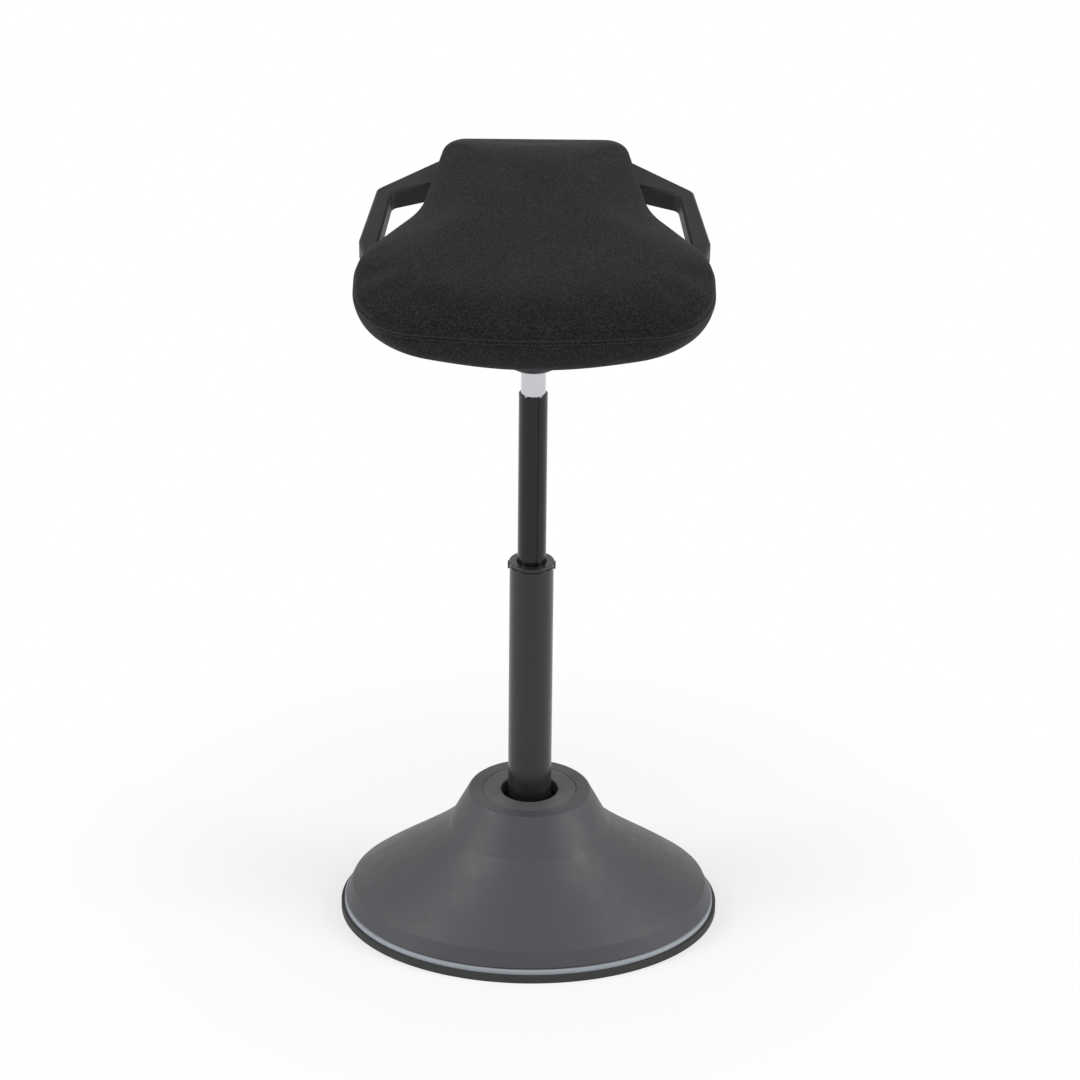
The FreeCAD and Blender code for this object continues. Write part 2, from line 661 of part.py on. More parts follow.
def make_dome_cover():
    band, flare = dome_sections("dome", 0, 0)
    band_room, flare_room = dome_sections("room", S["dome_wall"], S["dome_wall_run"])
    rim = boolean("Cut", "dome_rim_shell", band, band_room)
    shell = boolean("Cut", "dome_flare_shell", flare, flare_room)
    skirt_wall = S["dome_inset"] + S["shadow_gap"]
    skirt_out = oval_plate("skirt_outer", Plan.half_width - skirt_wall, Plan.half_depth - skirt_wall,
                           Plan.trim_top, S["shadow_gap"] + 1)
    skirt_in = oval_plate("skirt_inner", Plan.half_width - S["dome_inset"] - S["dome_wall"],
                          Plan.half_depth - S["dome_inset"] - S["dome_wall"], Plan.trim_top - 1,
                          S["shadow_gap"] + 3)
    skirt = boolean("Cut", "dome_skirt", skirt_out, skirt_in)
    neck = new_body("dome_neck")
    ledge_radius = S["insert_radius"] - 4
    ledge_top = S["neck_top_level"] - S["insert_thickness"]
    ledge_bottom = ledge_top - S["insert_ledge"]
    slope = (S["neck_radius"] - S["neck_top_radius"]) / (S["neck_top_level"] - S["neck_level"])
    inner_low = S["neck_radius"] - S["dome_wall_run"]
    inner_high = inner_low - slope * (ledge_bottom - S["neck_level"])
    revolved(neck, "neck_wall", [
        (S["neck_radius"], S["neck_level"]),
        (S["neck_top_radius"], S["neck_top_level"], Size(3, "3")),
        (S["insert_radius"] + S["edge_gap"], S["neck_top_level"]),
        (S["insert_radius"] + S["edge_gap"], ledge_top),
        (ledge_radius, ledge_top),
        (ledge_radius, ledge_bottom),
        (inner_high, ledge_bottom),
        (inner_low, S["neck_level"]),
    ])
    bosses = []
    drills = []
    for x, y in ring_places(S["cover_screw_circle"], S["cover_screw_count"], 0):
        boss = cylinder("boss_blank", S["boss_radius"], S["neck_level"], x, y, Plan.plate_top + S["edge_gap"])
        bosses.append(boss)
        drills.append(cylinder("boss_drill", S["cover_screw_radius"] + S["slide_play"], S["band_height"] + 2,
                               x, y, Plan.plate_top))
    room = boolean("MultiFuse", "dome_room", band_room, flare_room)
    low_room = oval_plate("room_foot", Plan.half_width - S["dome_inset"] - S["dome_wall"],
                          Plan.half_depth - S["dome_inset"] - S["dome_wall"], Plan.plate_top,
                          S["shadow_gap"] + S["trim_height"])
    filled = boolean("MultiFuse", "dome_room_whole", room, low_room)
    trimmed = [boolean("Common", "boss", boss, filled) for boss in bosses]
    whole = boolean("MultiFuse", "dome_whole", rim, shell, skirt, neck, *trimmed)
    named(boolean("Cut", "dome_cover", whole, boolean("MultiFuse", "boss_drills", *drills)), "dome_cover")


def make_neck_insert():
    body = new_body("neck_insert")
    flange_bottom = S["neck_top_level"] - S["insert_thickness"]
    spigot_bottom = flange_bottom - S["insert_spigot"]
    spigot_radius = S["insert_radius"] - 4 - S["edge_gap"]
    revolved(body, "insert_turned", [
        (S["bore_radius"], spigot_bottom),
        (spigot_radius, spigot_bottom),
        (spigot_radius, flange_bottom),
        (S["insert_radius"], flange_bottom),
        (S["insert_radius"], S["neck_top_level"], Size(0.8, "0.8")),
        (S["bore_radius"], S["neck_top_level"], Size(2, "2")),
    ])
    relief = new_sketch(body, "insert_relief_outline", "XY_Plane", spigot_bottom + S["insert_spigot"] - 2)
    draw_circle(relief, spigot_radius - 3)
    draw_circle(relief, S["bore_radius"] + 3)
    pocketed(body, "insert_relief", relief, S["insert_spigot"])
    named(body, "neck_insert")


# Tilting joint in the foot


def sphere_cut(radius, level):
    """Radius of the sphere's section at a level."""
    rise = level - S["pivot_level"]
    return root(radius * radius - rise * rise)


def make_socket_housing():
    body = new_body("housing_body")
    flange_top = Plan.plate_top + S["housing_flange_height"]
    floor_level = S["pivot_level"] - Plan.socket_radius - 6
    revolved(body, "housing_turned", [
        (0, Plan.plate_top),
        (S["housing_flange_radius"], Plan.plate_top),
        (S["housing_flange_radius"], flange_top, Size(2, "2")),
        (S["housing_radius"], flange_top, Size(6, "6")),
        (S["housing_radius"], Plan.split_level),
        (0, Plan.split_level),
    ])
    hollow = new_sketch(body, "housing_hollow_outline", "XY_Plane", floor_level - 8)
    draw_circle(hollow, S["housing_radius"] - 8)
    pocketed(body, "housing_hollow", hollow, floor_level - 8 - Plan.plate_top)
    bolt = new_sketch(body, "housing_bolt_outline", "XY_Plane", flange_top)
    draw_circle(bolt, S["housing_bolt_radius"] + S["hole_play"],
                S["housing_bolt_circle"] * round(math.cos(math.radians(45)), 9),
                S["housing_bolt_circle"] * round(math.sin(math.radians(45)), 9))
    hole = pocketed(body, "housing_bolt_hole", bolt, S["housing_flange_height"])
    polar(body, "housing_bolt_holes", hole, S["housing_bolt_count"])
    ball = DOC.addObject("Part::Sphere", "socket_room")
    bind(ball, Radius=Plan.socket_radius, base_z=S["pivot_level"])
    tools = [ball]
    for x, y in ring_places(S["retainer_screw_circle"], S["retainer_screw_count"], 0):
        tools.append(cylinder("housing_screw_hole", S["retainer_screw_radius"] + S["slide_play"], Size(15, "15"),
                              x, y, Plan.split_level - 14))
    room = boolean("MultiFuse", "housing_rooms", *tools)
    named(boolean("Cut", "socket_housing_open", body, room), "socket_housing")


def make_ball_liner():
    """A shell around the ball, open above for the neck and below for grease."""
    outer = DOC.addObject("Part::Sphere", "liner_outer")
    bind(outer, Radius=Plan.liner_radius, base_z=S["pivot_level"])
    inner = DOC.addObject("Part::Sphere", "liner_inner")
    bind(inner, Radius=S["ball_radius"] + S["ball_play"], base_z=S["pivot_level"])
    shell = boolean("Cut", "liner_shell", outer, inner)
    zone = cylinder("liner_zone", Plan.liner_radius + 1, Size(36, "36"), 0, 0, S["pivot_level"] - 21)
    named(boolean("Common", "ball_liner", shell, zone), "ball_liner")


def make_retainer_ring():
    body = new_body("retainer_body")
    cup_top = Plan.retainer_top + S["retainer_cup_height"]
    cup_in = S["elastomer_radius"] + S["edge_gap"]
    mouth = sphere_cut(Plan.socket_radius, Plan.retainer_top)
    revolved(body, "retainer_turned", [
        (mouth - 2, Plan.split_level),
        (S["housing_radius"], Plan.split_level),
        (S["housing_radius"], Plan.retainer_top),
        (cup_in + 2.5, Plan.retainer_top),
        (cup_in + 2.5, cup_top),
        (cup_in, cup_top),
        (cup_in, Plan.retainer_top + 1),
        (mouth - 2, Plan.retainer_top + 1),
    ])
    ball = DOC.addObject("Part::Sphere", "retainer_room")
    bind(ball, Radius=Plan.socket_radius, base_z=S["pivot_level"])
    tools = [ball]
    for x, y in ring_places(S["retainer_screw_circle"], S["retainer_screw_count"], 0):
        tools.append(cylinder("retainer_screw_hole", S["retainer_screw_radius"] + S["hole_play"],
                              S["retainer_thickness"] + 2, x, y, Plan.split_level - 1))
    room = boolean("MultiFuse", "retainer_rooms", *tools)
    named(boolean("Cut", "retainer_ring_open", body, room), "retainer_ring")


def make_elastomer_ring():
    """Rubber ring around the foot of the tube. It brings the column back upright."""
    body = new_body("elastomer_ring")
    inner = S["tube_radius"] + S["elastomer_gap"]
    top = Plan.elastomer_bottom + S["elastomer_height"]
    revolved(body, "elastomer_turned", [
        (inner, Plan.elastomer_bottom),
        (S["elastomer_radius"], Plan.elastomer_bottom),
        (S["elastomer_radius"], top, Size(3, "3")),
        (inner, top, Size(2, "2")),
    ])
    named(body, "elastomer_ring")


def screw_set(label, places, level, head_radius, head_height, shank_radius, shank_length, head_up):
    """Equal screws, each a head and a shank in one solid. Level is the face under the heads."""
    screws = []
    for x, y in places:
        if head_up:
            head = cylinder(label + "_head", head_radius, head_height, x, y, level)
            shank = cylinder(label + "_shank", shank_radius, shank_length, x, y, level - shank_length)
        else:
            head = cylinder(label + "_head", head_radius, head_height, x, y, level - head_height)
            shank = cylinder(label + "_shank", shank_radius, shank_length, x, y, level)
        screws.append(boolean("MultiFuse", label + "_one", head, shank))
    return named(boolean("Compound", label, *screws), label)


def make_foot_screws():
    flange_top = Plan.plate_top + S["housing_flange_height"]
    screw_set("housing_bolts", ring_places(S["housing_bolt_circle"], S["housing_bolt_count"], 45), flange_top,
              S["housing_bolt_head"], S["housing_bolt_radius"] * 1.2, S["housing_bolt_radius"],
              S["housing_flange_height"] + S["plate_thickness"] - 1, True)
    screw_set("retainer_screws", ring_places(S["retainer_screw_circle"], S["retainer_screw_count"], 0),
              Plan.retainer_top, S["retainer_screw_head"], S["retainer_thickness"], S["retainer_screw_radius"],
              S["retainer_thickness"] + 12, True)
    sunk = S["plate_lift"] + S["screw_head_height"]
    screw_set("cover_screws", ring_places(S["cover_screw_circle"], S["cover_screw_count"], 0), sunk,
              S["cover_screw_head"], S["screw_head_height"], S["cover_screw_radius"],
              S["plate_thickness"] + S["band_height"] - 6, False)


# Column


def make_ball_foot():
    """Ball, neck and plug in one piece. The plug is pressed into the outer tube."""
    body = new_body("ball_plug")
    play = S["slide_play"]
    plug_radius = Plan.tube_bore - play
    revolved(body, "plug_turned", [
        (0, S["pivot_level"]),
        (S["neck_of_ball"], S["pivot_level"]),
        (S["neck_of_ball"], S["tube_bottom"] - 3),
        (plug_radius, S["tube_bottom"] + 1),
        (plug_radius, Plan.plug_top),
        (S["clip_room_radius"], Plan.plug_top),
        (S["clip_room_radius"], Plan.plug_top - S["clip_room_depth"]),
        (0, Plan.plug_top - S["clip_room_depth"]),
    ])
    ball = DOC.addObject("Part::Sphere", "foot_ball")
    bind(ball, Radius=S["ball_radius"], base_z=S["pivot_level"])
    flat = DOC.addObject("Part::Box", "foot_ball_flat")
    wide = S["ball_radius"] * 2 + 4
    bind(flat, Length=wide, Width=wide, Height=Size(10, "10"), base_x=-(S["ball_radius"] + 2),
         base_y=-(S["ball_radius"] + 2), base_z=S["pivot_level"] - S["ball_radius"] - 6)
    cut = boolean("Cut", "foot_ball_cut", ball, flat)
    named(boolean("MultiFuse", "ball_foot_whole", cut, body), "ball_foot")


def make_outer_tube():
    body = new_body("outer_tube")
    revolved(body, "tube_turned", [
        (Plan.tube_bore, S["tube_bottom"]),
        (S["tube_radius"], S["tube_bottom"], Size(0.6, "0.6")),
        (S["tube_radius"], S["tube_top"], Size(0.6, "0.6")),
        (Plan.tube_bore, S["tube_top"]),
    ])
    named(body, "outer_tube")


def turned_ring(name, inner, outer, bottom, top):
    body = new_body(name)
    revolved(body, name + "_turned", [(inner, bottom), (outer, bottom), (outer, top), (inner, top)])
    return named(body, name)


def make_rod_anchor():
    hole = S["rod_end_radius"] + S["slide_play"]
    turned_ring("rod_plate", hole, Plan.tube_bore - S["slide_play"], Plan.plug_top, Plan.rod_plate_top)
    turned_ring("thrust_washer", hole, S["washer_radius"], Plan.rod_plate_top, Plan.washer_top)
    rod_hole = S["rod_radius"] + S["slide_play"]
    body = new_body("bump_stop")
    revolved(body, "bump_turned", [
        (rod_hole, Plan.washer_top),
        (S["bump_radius"], Plan.washer_top),
        (S["bump_radius"], Plan.bump_top - 4),
        (S["bump_radius"] - 3, Plan.bump_top),
        (rod_hole, Plan.bump_top),
    ])
    named(body, "bump_stop")
    clip_top = Plan.plug_top - 1
    clip = turned_ring("rod_clip", S["rod_end_radius"] - 1, S["clip_radius"], clip_top - S["clip_thickness"], clip_top)
    gap = new_sketch(clip, "clip_gap_outline", "XY_Plane", clip_top)
    wide = S["rod_end_radius"] - 1.5
    draw_outline(gap, [(0, -wide), (S["clip_radius"] + 1, -wide), (S["clip_radius"] + 1, wide), (0, wide)])
    pocketed(clip, "clip_gap", gap, S["clip_thickness"])


def make_piston_rod():
    body = new_body("piston_rod")
    clip_top = Plan.plug_top - 1
    clip_bottom = clip_top - S["clip_thickness"]
    groove = S["rod_end_radius"] - 1.1
    revolved(body, "rod_turned", [
        (0, clip_bottom - 3),
        (S["rod_end_radius"], clip_bottom - 3),
        (S["rod_end_radius"], clip_bottom - 0.1),
        (groove, clip_bottom - 0.1),
        (groove, clip_top + 0.1),
        (S["rod_end_radius"], clip_top + 0.1),
        (S["rod_end_radius"], Plan.washer_top),
        (S["rod_radius"], Plan.washer_top),
        (S["rod_radius"], Plan.piston_bottom),
        (S["rod_end_radius"], Plan.piston_bottom),
        (S["rod_end_radius"], Plan.piston_bottom + S["piston_height"] + 2),
        (0, Plan.piston_bottom + S["piston_height"] + 2),
    ])
    named(body, "piston_rod")
    piston = new_body("piston")
    inner = S["rod_end_radius"] + 0.02
    outer = Plan.cylinder_bore - S["slide_play"]
    middle = Plan.piston_bottom + S["piston_height"] / 2
    revolved(piston, "piston_turned", [
        (inner, Plan.piston_bottom),
        (outer, Plan.piston_bottom),
        (outer, middle - 2),
        (outer - 1.5, middle - 2),
        (outer - 1.5, middle + 2),
        (outer, middle + 2),
        (outer, Plan.piston_bottom + S["piston_height"]),
        (inner, Plan.piston_bottom + S["piston_height"]),
    ])
    named(piston, "piston")


def key_outline(sketch, reach_in, reach_out, width):
    """A radial block along +X, before it is turned to the keyway's angle."""
    half = width / 2
    draw_outline(sketch, [(reach_in, -half), (reach_out, -half), (reach_out, half), (reach_in, half)])


def make_guide_collar():
    """Bush clipped into the tube's mouth, with a key for the sleeve and two side hooks."""
    body = new_body("collar_body")
    neck_top = Plan.collar_top - S["collar_flange_height"]
    body_radius = Plan.tube_bore - S["slide_play"]
    revolved(body, "collar_turned", [
        (Plan.collar_bore, S["tube_top"] - S["collar_length"]),
        (body_radius - 1, S["tube_top"] - S["collar_length"]),
        (body_radius, S["tube_top"] - S["collar_length"] + 4),
        (body_radius, S["tube_top"] + 0.1),
        (S["collar_neck_radius"], S["tube_top"] + 0.1),
        (S["collar_neck_radius"], neck_top),
        (S["collar_flange_radius"], neck_top),
        (S["collar_flange_radius"], Plan.collar_top, Size(0.8, "0.8")),
        (Plan.collar_bore + S["collar_mouth"], Plan.collar_top),
        (Plan.collar_bore, Plan.collar_top - S["collar_mouth"]),
    ])
    hook_in = S["tube_radius"] + 0.15
    half = S["hook_width"] / 2
    low = S["tube_top"] - S["hook_drop"]
    hook = new_sketch(body, "hook_outline", "XY_Plane", low)
    draw_outline(hook, [(hook_in, -half), (hook_in + S["hook_reach"], -half),
                        (hook_in + S["hook_reach"], half), (hook_in, half)])
    clip = padded(body, "hook", hook, Plan.collar_top - 1 - low)
    polar(body, "hooks", clip, Size(2, "2"))
    key = DOC.addObject("Part::Box", "collar_key")
    play = S["slide_play"] * 2
    key_in = S["sleeve_radius"] - S["groove_depth"] + play
    width = S["groove_width"] - play * 2
    bind(key, Length=Plan.collar_bore + 0.5 - key_in, Width=width, Height=S["collar_length"] - 2,
         base_x=key_in, base_y=-(width / 2), base_z=S["tube_top"] - S["collar_length"])
    turned = boolean("Compound", "collar_key_turned", key)
    turn_about_axis(turned, S["groove_angle"])
    named(boolean("MultiFuse", "guide_collar_whole", body, turned), "guide_collar")


def turn_about_axis(item, angle):
    item.Placement = Placement(Vector(), Rotation(Vector(0, 0, 1), number(angle)))
    item.setExpression("Placement.Rotation.Angle", text(angle))


# Gas cylinder and its sleeve


def make_gas_cylinder():
    body = new_body("gas_cylinder")
    taper_bottom = S["cylinder_top"] - S["taper_length"]
    revolved(body, "cylinder_turned", [
        (Plan.cylinder_bore, Plan.cylinder_bottom),
        (S["cylinder_radius"], Plan.cylinder_bottom),
        (S["cylinder_radius"], taper_bottom),
        (S["taper_small_radius"], S["cylinder_top"]),
        (S["valve_radius"] + S["slide_play"], S["cylinder_top"]),
        (S["valve_radius"] + S["slide_play"], S["cylinder_top"] - 14),
        (Plan.cylinder_bore - 1.5, S["cylinder_top"] - 14),
        (Plan.cylinder_bore, taper_bottom),
    ])
    named(body, "gas_cylinder")
    turned_ring("rod_guide", S["rod_radius"] + S["slide_play"], Plan.cylinder_bore - S["slide_play"],
                Plan.cylinder_bottom, Plan.guide_top)


def make_valve_pin():
    body = new_body("valve_pin")
    bottom = S["cylinder_top"] - 22
    revolved(body, "valve_turned", [
        (0, bottom),
        (S["valve_radius"] + 2, bottom),
        (S["valve_radius"] + 2, bottom + 3),
        (S["valve_radius"], bottom + 3),
        (S["valve_radius"], Plan.valve_top, Size(1.2, "1.2")),
        (0, Plan.valve_top),
    ])
    named(body, "valve_pin")


def make_sleeve():
    body = new_body("sleeve_body")
    bottom = Plan.lower_guide_top + 0.1
    revolved(body, "sleeve_turned", [
        (Plan.sleeve_bore, bottom),
        (S["sleeve_radius"], bottom),
        (S["sleeve_radius"], S["sleeve_top"], Size(0.5, "0.5")),
        (Plan.sleeve_bore, S["sleeve_top"]),
    ])
    key = DOC.addObject("Part::Box", "sleeve_keyway")
    key_in = S["sleeve_radius"] - S["groove_depth"]
    bind(key, Length=S["groove_depth"] + 2, Width=S["groove_width"], Height=S["sleeve_top"] - bottom + 2,
         base_x=key_in, base_y=-(S["groove_width"] / 2), base_z=bottom - 1)
    turned = boolean("Compound", "sleeve_keyway_turned", key)
    turn_about_axis(turned, S["groove_angle"])
    named(boolean("Cut", "cylinder_sleeve_keyed", body, turned), "cylinder_sleeve")
    guide = new_body("lower_guide")
    revolved(guide, "lower_guide_turned", [
        (S["cylinder_radius"] + 0.05, Plan.cylinder_bottom),
        (Plan.tube_bore - 1.5, Plan.cylinder_bottom),
        (Plan.tube_bore - S["slide_play"], Plan.cylinder_bottom + 1.5),
        (Plan.tube_bore - S["slide_play"], Plan.lower_guide_top),
        (S["cylinder_radius"] + 0.05, Plan.lower_guide_top),
    ])
    named(guide, "lower_guide")


# Seat mount and release lever


def make_taper_hub():
    """Taper socket welded to a sloping plate, with a fork for the lever pin."""
    plate = new_body("mount_plate")
    half_x, half_y, corner = S["mount_width"] / 2, S["mount_depth"] / 2, S["mount_corner"]
    sketch = new_sketch(plate, "mount_outline", "XY_Plane", Plan.plate_face)
    draw_outline(sketch, [(-half_x, -half_y, corner), (half_x, -half_y, corner),
                          (half_x, half_y, corner), (-half_x, half_y, corner)])
    padded(plate, "mount_pad", sketch, S["mount_thickness"])
    hole = new_sketch(plate, "mount_hole_outline", "XY_Plane", Plan.board_bottom)
    for x in (-1, 1):
        for y in (-1, 1):
            draw_circle(hole, S["seat_bolt_radius"] + S["hole_play"], S["seat_bolt_x"] * x, S["seat_bolt_y"] * y)
    pocketed(plate, "mount_holes", hole, S["mount_thickness"])
    on_seat(plate)
    plate_level = S["seat_level"] + Plan.plate_face / cosine(S["seat_tilt"])
    hub = new_body("hub_tube")
    taper_bottom = S["cylinder_top"] - S["taper_length"]
    lever_room = S["cylinder_top"] - 4
    revolved(hub, "hub_turned", [
        (S["cylinder_radius"], S["hub_bottom"]),
        (S["hub_radius"], S["hub_bottom"]),
        (S["hub_radius"], plate_level + 5),
        (S["taper_small_radius"], plate_level + 5),
        (S["taper_small_radius"], S["cylinder_top"]),
        (S["cylinder_radius"], taper_bottom),
    ])
    slot = new_sketch(hub, "hub_slot_outline", "XY_Plane", plate_level + 10)
    half = S["lever_radius"] + 2
    draw_outline(slot, [(0, -half), (S["hub_radius"] + 2, -half), (S["hub_radius"] + 2, half), (0, half)])
    pocketed(hub, "hub_slot", slot, plate_level + 10 - lever_room)
    cheeks = []
    for side in (-1, 1):
        cheek = DOC.addObject("Part::Box", "fork_cheek")
        inner = S["fork_gap"] / 2
        near = inner if side == 1 else -(inner + S["fork_cheek"])
        bind(cheek, Length=S["lever_pivot_x"] - S["hub_radius"] + 10, Width=S["fork_cheek"],
             Height=plate_level - Plan.lever_level + 13, base_x=S["hub_radius"] - 3, base_y=near,
             base_z=Plan.lever_level - 8)
        cheeks.append(cheek)
    whole = boolean("MultiFuse", "hub_whole", plate, hub, *cheeks)
    above = DOC.addObject("Part::Box", "hub_trim_blank")
    wide = S["mount_width"]
    bind(above, Length=wide, Width=wide, Height=Size(40, "40"), base_x=-(wide / 2), base_y=-(wide / 2),
         base_z=Plan.board_bottom)
    trim = boolean("Compound", "hub_trim", above)
    on_seat(trim)
    pin = DOC.addObject("Part::Cylinder", "pin_room")
    pin.Placement = Placement(Vector(), Rotation(Vector(1, 0, 0), 90))
    bind(pin, Radius=S["pin_radius"], Height=S["fork_gap"] + 20, base_x=S["lever_pivot_x"],
         base_y=S["fork_gap"] / 2 + 10, base_z=Plan.lever_level)
    tools = boolean("MultiFuse", "hub_tools", trim, pin)
    named(boolean("Cut", "taper_hub_open", whole, tools), "taper_hub")


def make_lever():
    """Bent rod: its short arm presses the valve pin, its long arm ends in the paddle."""
    body = new_body("lever_body")
    inner_x = -(S["valve_radius"] + 2)
    radius = S["lever_radius"]
    touch = Plan.valve_top + radius + 0.05
    low = Plan.lever_level - S["lever_drop"]
    spine = new_sketch(body, "lever_run", "XZ_Plane")
    draw_path(spine, [
        (inner_x, touch),
        (S["lever_pivot_x"] + 8, touch, Size(10, "10")),
        (S["lever_bend_x"], low, Size(10, "10")),
        (S["lever_reach"], low),
    ])
    profile = new_sketch(body, "lever_section", "YZ_Plane", inner_x)
    draw_circle(profile, radius, 0, touch)
    rod = body.newObject("PartDesign::AdditivePipe", "lever_rod")
    rod.Profile = profile
    rod.Spine = (spine, [])
    boss = across("lever_boss", S["pin_radius"] + 2.5, S["fork_gap"] - 1, S["lever_pivot_x"], Plan.lever_level)
    hole = across("lever_eye", S["pin_radius"] + S["slide_play"], S["fork_gap"] + 4, S["lever_pivot_x"],
                  Plan.lever_level)
    whole = boolean("MultiFuse", "lever_whole", body, boss)
    named(boolean("Cut", "lever_bored", whole, hole), "release_lever")
    grip = new_body("grip_body")
    sketch = new_sketch(grip, "grip_outline", "XY_Plane", low - S["grip_thickness"] / 2)
    near = S["lever_reach"] - S["grip_length"] + 6
    far = S["lever_reach"] + 6
    half = S["grip_width"] / 2
    draw_outline(sketch, [(near, -(half * 0.6), Size(5, "5")), (far, -half, Size(10, "10")),
                          (far, half, Size(10, "10")), (near, half * 0.6, Size(5, "5"))])
    padded(grip, "grip_pad", sketch, S["grip_thickness"])
    bore = DOC.addObject("Part::Cylinder", "grip_bore")
    bore.Placement = Placement(Vector(), Rotation(Vector(0, 1, 0), 90))
    start = near - 1
    bind(bore, Radius=radius + S["slip_play"], Height=S["lever_reach"] + S["slip_play"] - start, base_x=start,
         base_z=low)
    named(boolean("Cut", "grip_bored", grip, bore), "lever_grip")
    length = S["fork_gap"] + S["fork_cheek"] * 2 + 3
    named(across("lever_pin", S["pin_radius"], length, S["lever_pivot_x"], Plan.lever_level), "lever_pin")


def across(name, radius, length, x, z):
    """A cylinder lying along Y, centred on the middle plane."""
    item = DOC.addObject("Part::Cylinder", name)
    item.Placement = Placement(Vector(), Rotation(Vector(1, 0, 0), 90))
    return bind(item, Radius=radius, Height=length, base_x=x, base_y=length / 2, base_z=z)


def pod_screw_places():
    run, side = S["pod_screw_run"], S["pod_screw_side"]
    return [(0, run), (0, -run), (-side, 0)]


def make_mechanism_cover():
    """Funnel-shaped cover around the hub and lever, cut off along the board's underside."""
    body = new_body("pod_shell")
    wall = S["pod_wall"]
    high = S["seat_level"] + 20
    hole = S["cylinder_radius"] + 1
    outside = [
        (S["pod_bottom_radius"], S["pod_bottom"], Size(5, "5")),
        (S["pod_lip_radius"], S["pod_lip_level"], Size(12, "12")),
        (S["pod_top_radius"], S["pod_top_level"], Size(14, "14")),
        (S["pod_top_radius"], high),
    ]
    revolved(body, "pod_turned", [(hole, S["pod_bottom"])] + outside + [
        (S["pod_top_radius"] - wall, high),
        (S["pod_top_radius"] - wall, S["pod_top_level"] + wall, Size(12, "12")),
        (S["pod_lip_radius"] - wall, S["pod_lip_level"] + wall, Size(12, "12")),
        (S["pod_bottom_radius"] - wall, S["pod_bottom"] + wall),
        (hole, S["pod_bottom"] + wall),
    ])
    blank = new_body("pod_blank")
    revolved(blank, "pod_blank_turned", [(0, S["pod_bottom"])] + outside + [(0, high)])
    bosses = []
    drills = []
    deep = S["pod_screw_depth"]
    below = Size(80, "80")
    for x, y in pod_screw_places():
        bosses.append(cylinder("pod_boss_blank", S["pod_boss_radius"], below, x, y, -below))
        drills.append(cylinder("pod_drill", S["pod_screw_radius"] + S["hole_play"], below, x, y, -below))
        drills.append(cylinder("pod_sink", S["pod_screw_head"] + S["hole_play"], below - deep, x, y, -below))
    boss_set = on_seat(boolean("Compound", "pod_boss_set", *bosses))
    trimmed = boolean("Common", "pod_bosses", boss_set, blank)
    above = DOC.addObject("Part::Box", "pod_trim_blank")
    wide = S["pod_top_radius"] * 4
    bind(above, Length=wide, Width=wide, Height=Size(90, "90"), base_x=-(wide / 2), base_y=-(wide / 2),
         base_z=Plan.board_bottom - 0.2)
    trim = on_seat(boolean("Compound", "pod_trim", above, *drills))
    slot = DOC.addObject("Part::Box", "pod_slot")
    bind(slot, Length=S["pod_top_radius"], Width=S["pod_slot_width"],
         Height=S["pod_slot_top"] - S["pod_slot_bottom"], base_x=S["pod_lip_radius"] + 3,
         base_y=-(S["pod_slot_width"] / 2), base_z=S["pod_slot_bottom"])
    whole = boolean("MultiFuse", "pod_whole", body, trimmed)
    opened = boolean("Cut", "pod_trimmed", whole, trim)
    named(boolean("Cut", "pod_open", opened, slot), "mechanism_cover")
    screws = screw_set("pod_screws", pod_screw_places(), -deep, S["pod_screw_head"], S["screw_head_height"],
                       S["pod_screw_radius"], deep - 2, False)
    on_seat(screws)


# Seat


def seat_outline(inset, ease=0, front_ease=0):
    """The seat outline drawn in by an inset. Ease rounds the corners more, front ease only those in front."""
    right = [
        (S["lobe_width"] - inset, -(S["front_reach"] - S["front_bow"]) + inset * 0.91,
         S["front_corner"] - inset + ease + front_ease),
        (S["lobe_width"] - inset, -S["lobe_reach"] - inset * 0.35, S["lobe_corner"] - inset + ease - front_ease / 2),
        (S["waist_width"] - inset * 0.93, S["waist_reach"] - inset * 0.44, S["waist_corner"] + inset),
        (S["end_width"] - inset * 0.82, S["end_reach"] - inset, S["end_corner"] - inset / 4 + ease),
    ]
    left = [(-x, y, radius) for x, y, radius in reversed(right)]
    return [(0, -S["front_reach"] + inset, S["front_round"] - inset)] + right + left


def seat_bolt_places():
    return [(S["seat_bolt_x"] * x, S["seat_bolt_y"] * y) for x in (-1, 1) for y in (-1, 1)]


def handle_screw_places(side):
    """Screws of one handle: two in its front tab and two under the narrow end."""
    front_x = (S["lobe_width"] - S["tab_screw_edge"]) * side
    end_x = (S["end_width"] - S["end_screw_edge"]) * side
    front_y = -S["tab_screw_front"]
    end_y = S["end_reach"] - S["end_screw_reach"]
    return [(front_x, front_y), (front_x, front_y + S["tab_screw_pitch"]),
            (end_x, end_y), (end_x, end_y - S["end_screw_pitch"])]


def drill_board(body, name, radius, places, depth):
    sketch = new_sketch(body, name + "_outline", "XY_Plane", Size(0, "0"))
    for x, y in places:
        draw_circle(sketch, radius, x, y)
    return pocketed(body, name, sketch, depth)


def make_seat_board():
    body = new_body("seat_board")
    sketch = new_sketch(body, "board_outline", "XY_Plane", Plan.board_bottom)
    draw_outline(sketch, seat_outline(S["board_inset"], S["board_ease"]))
    padded(body, "board_pad", sketch, S["board_thickness"])
    play = S["slide_play"]
    drill_board(body, "nut_bores", S["nut_radius"] + play, seat_bolt_places(), S["board_thickness"])
    drill_board(body, "nut_sinks", S["nut_flange_radius"] + play, seat_bolt_places(), S["nut_flange_height"])
    screw_places = handle_screw_places(1) + handle_screw_places(-1)
    drill_board(body, "screw_bores", S["handle_screw_radius"] + play, screw_places, S["board_thickness"])
    drill_board(body, "pod_screw_bores", S["pod_screw_radius"] + play, pod_screw_places(), S["board_thickness"])
    on_seat(body)
    named(body, "seat_board")


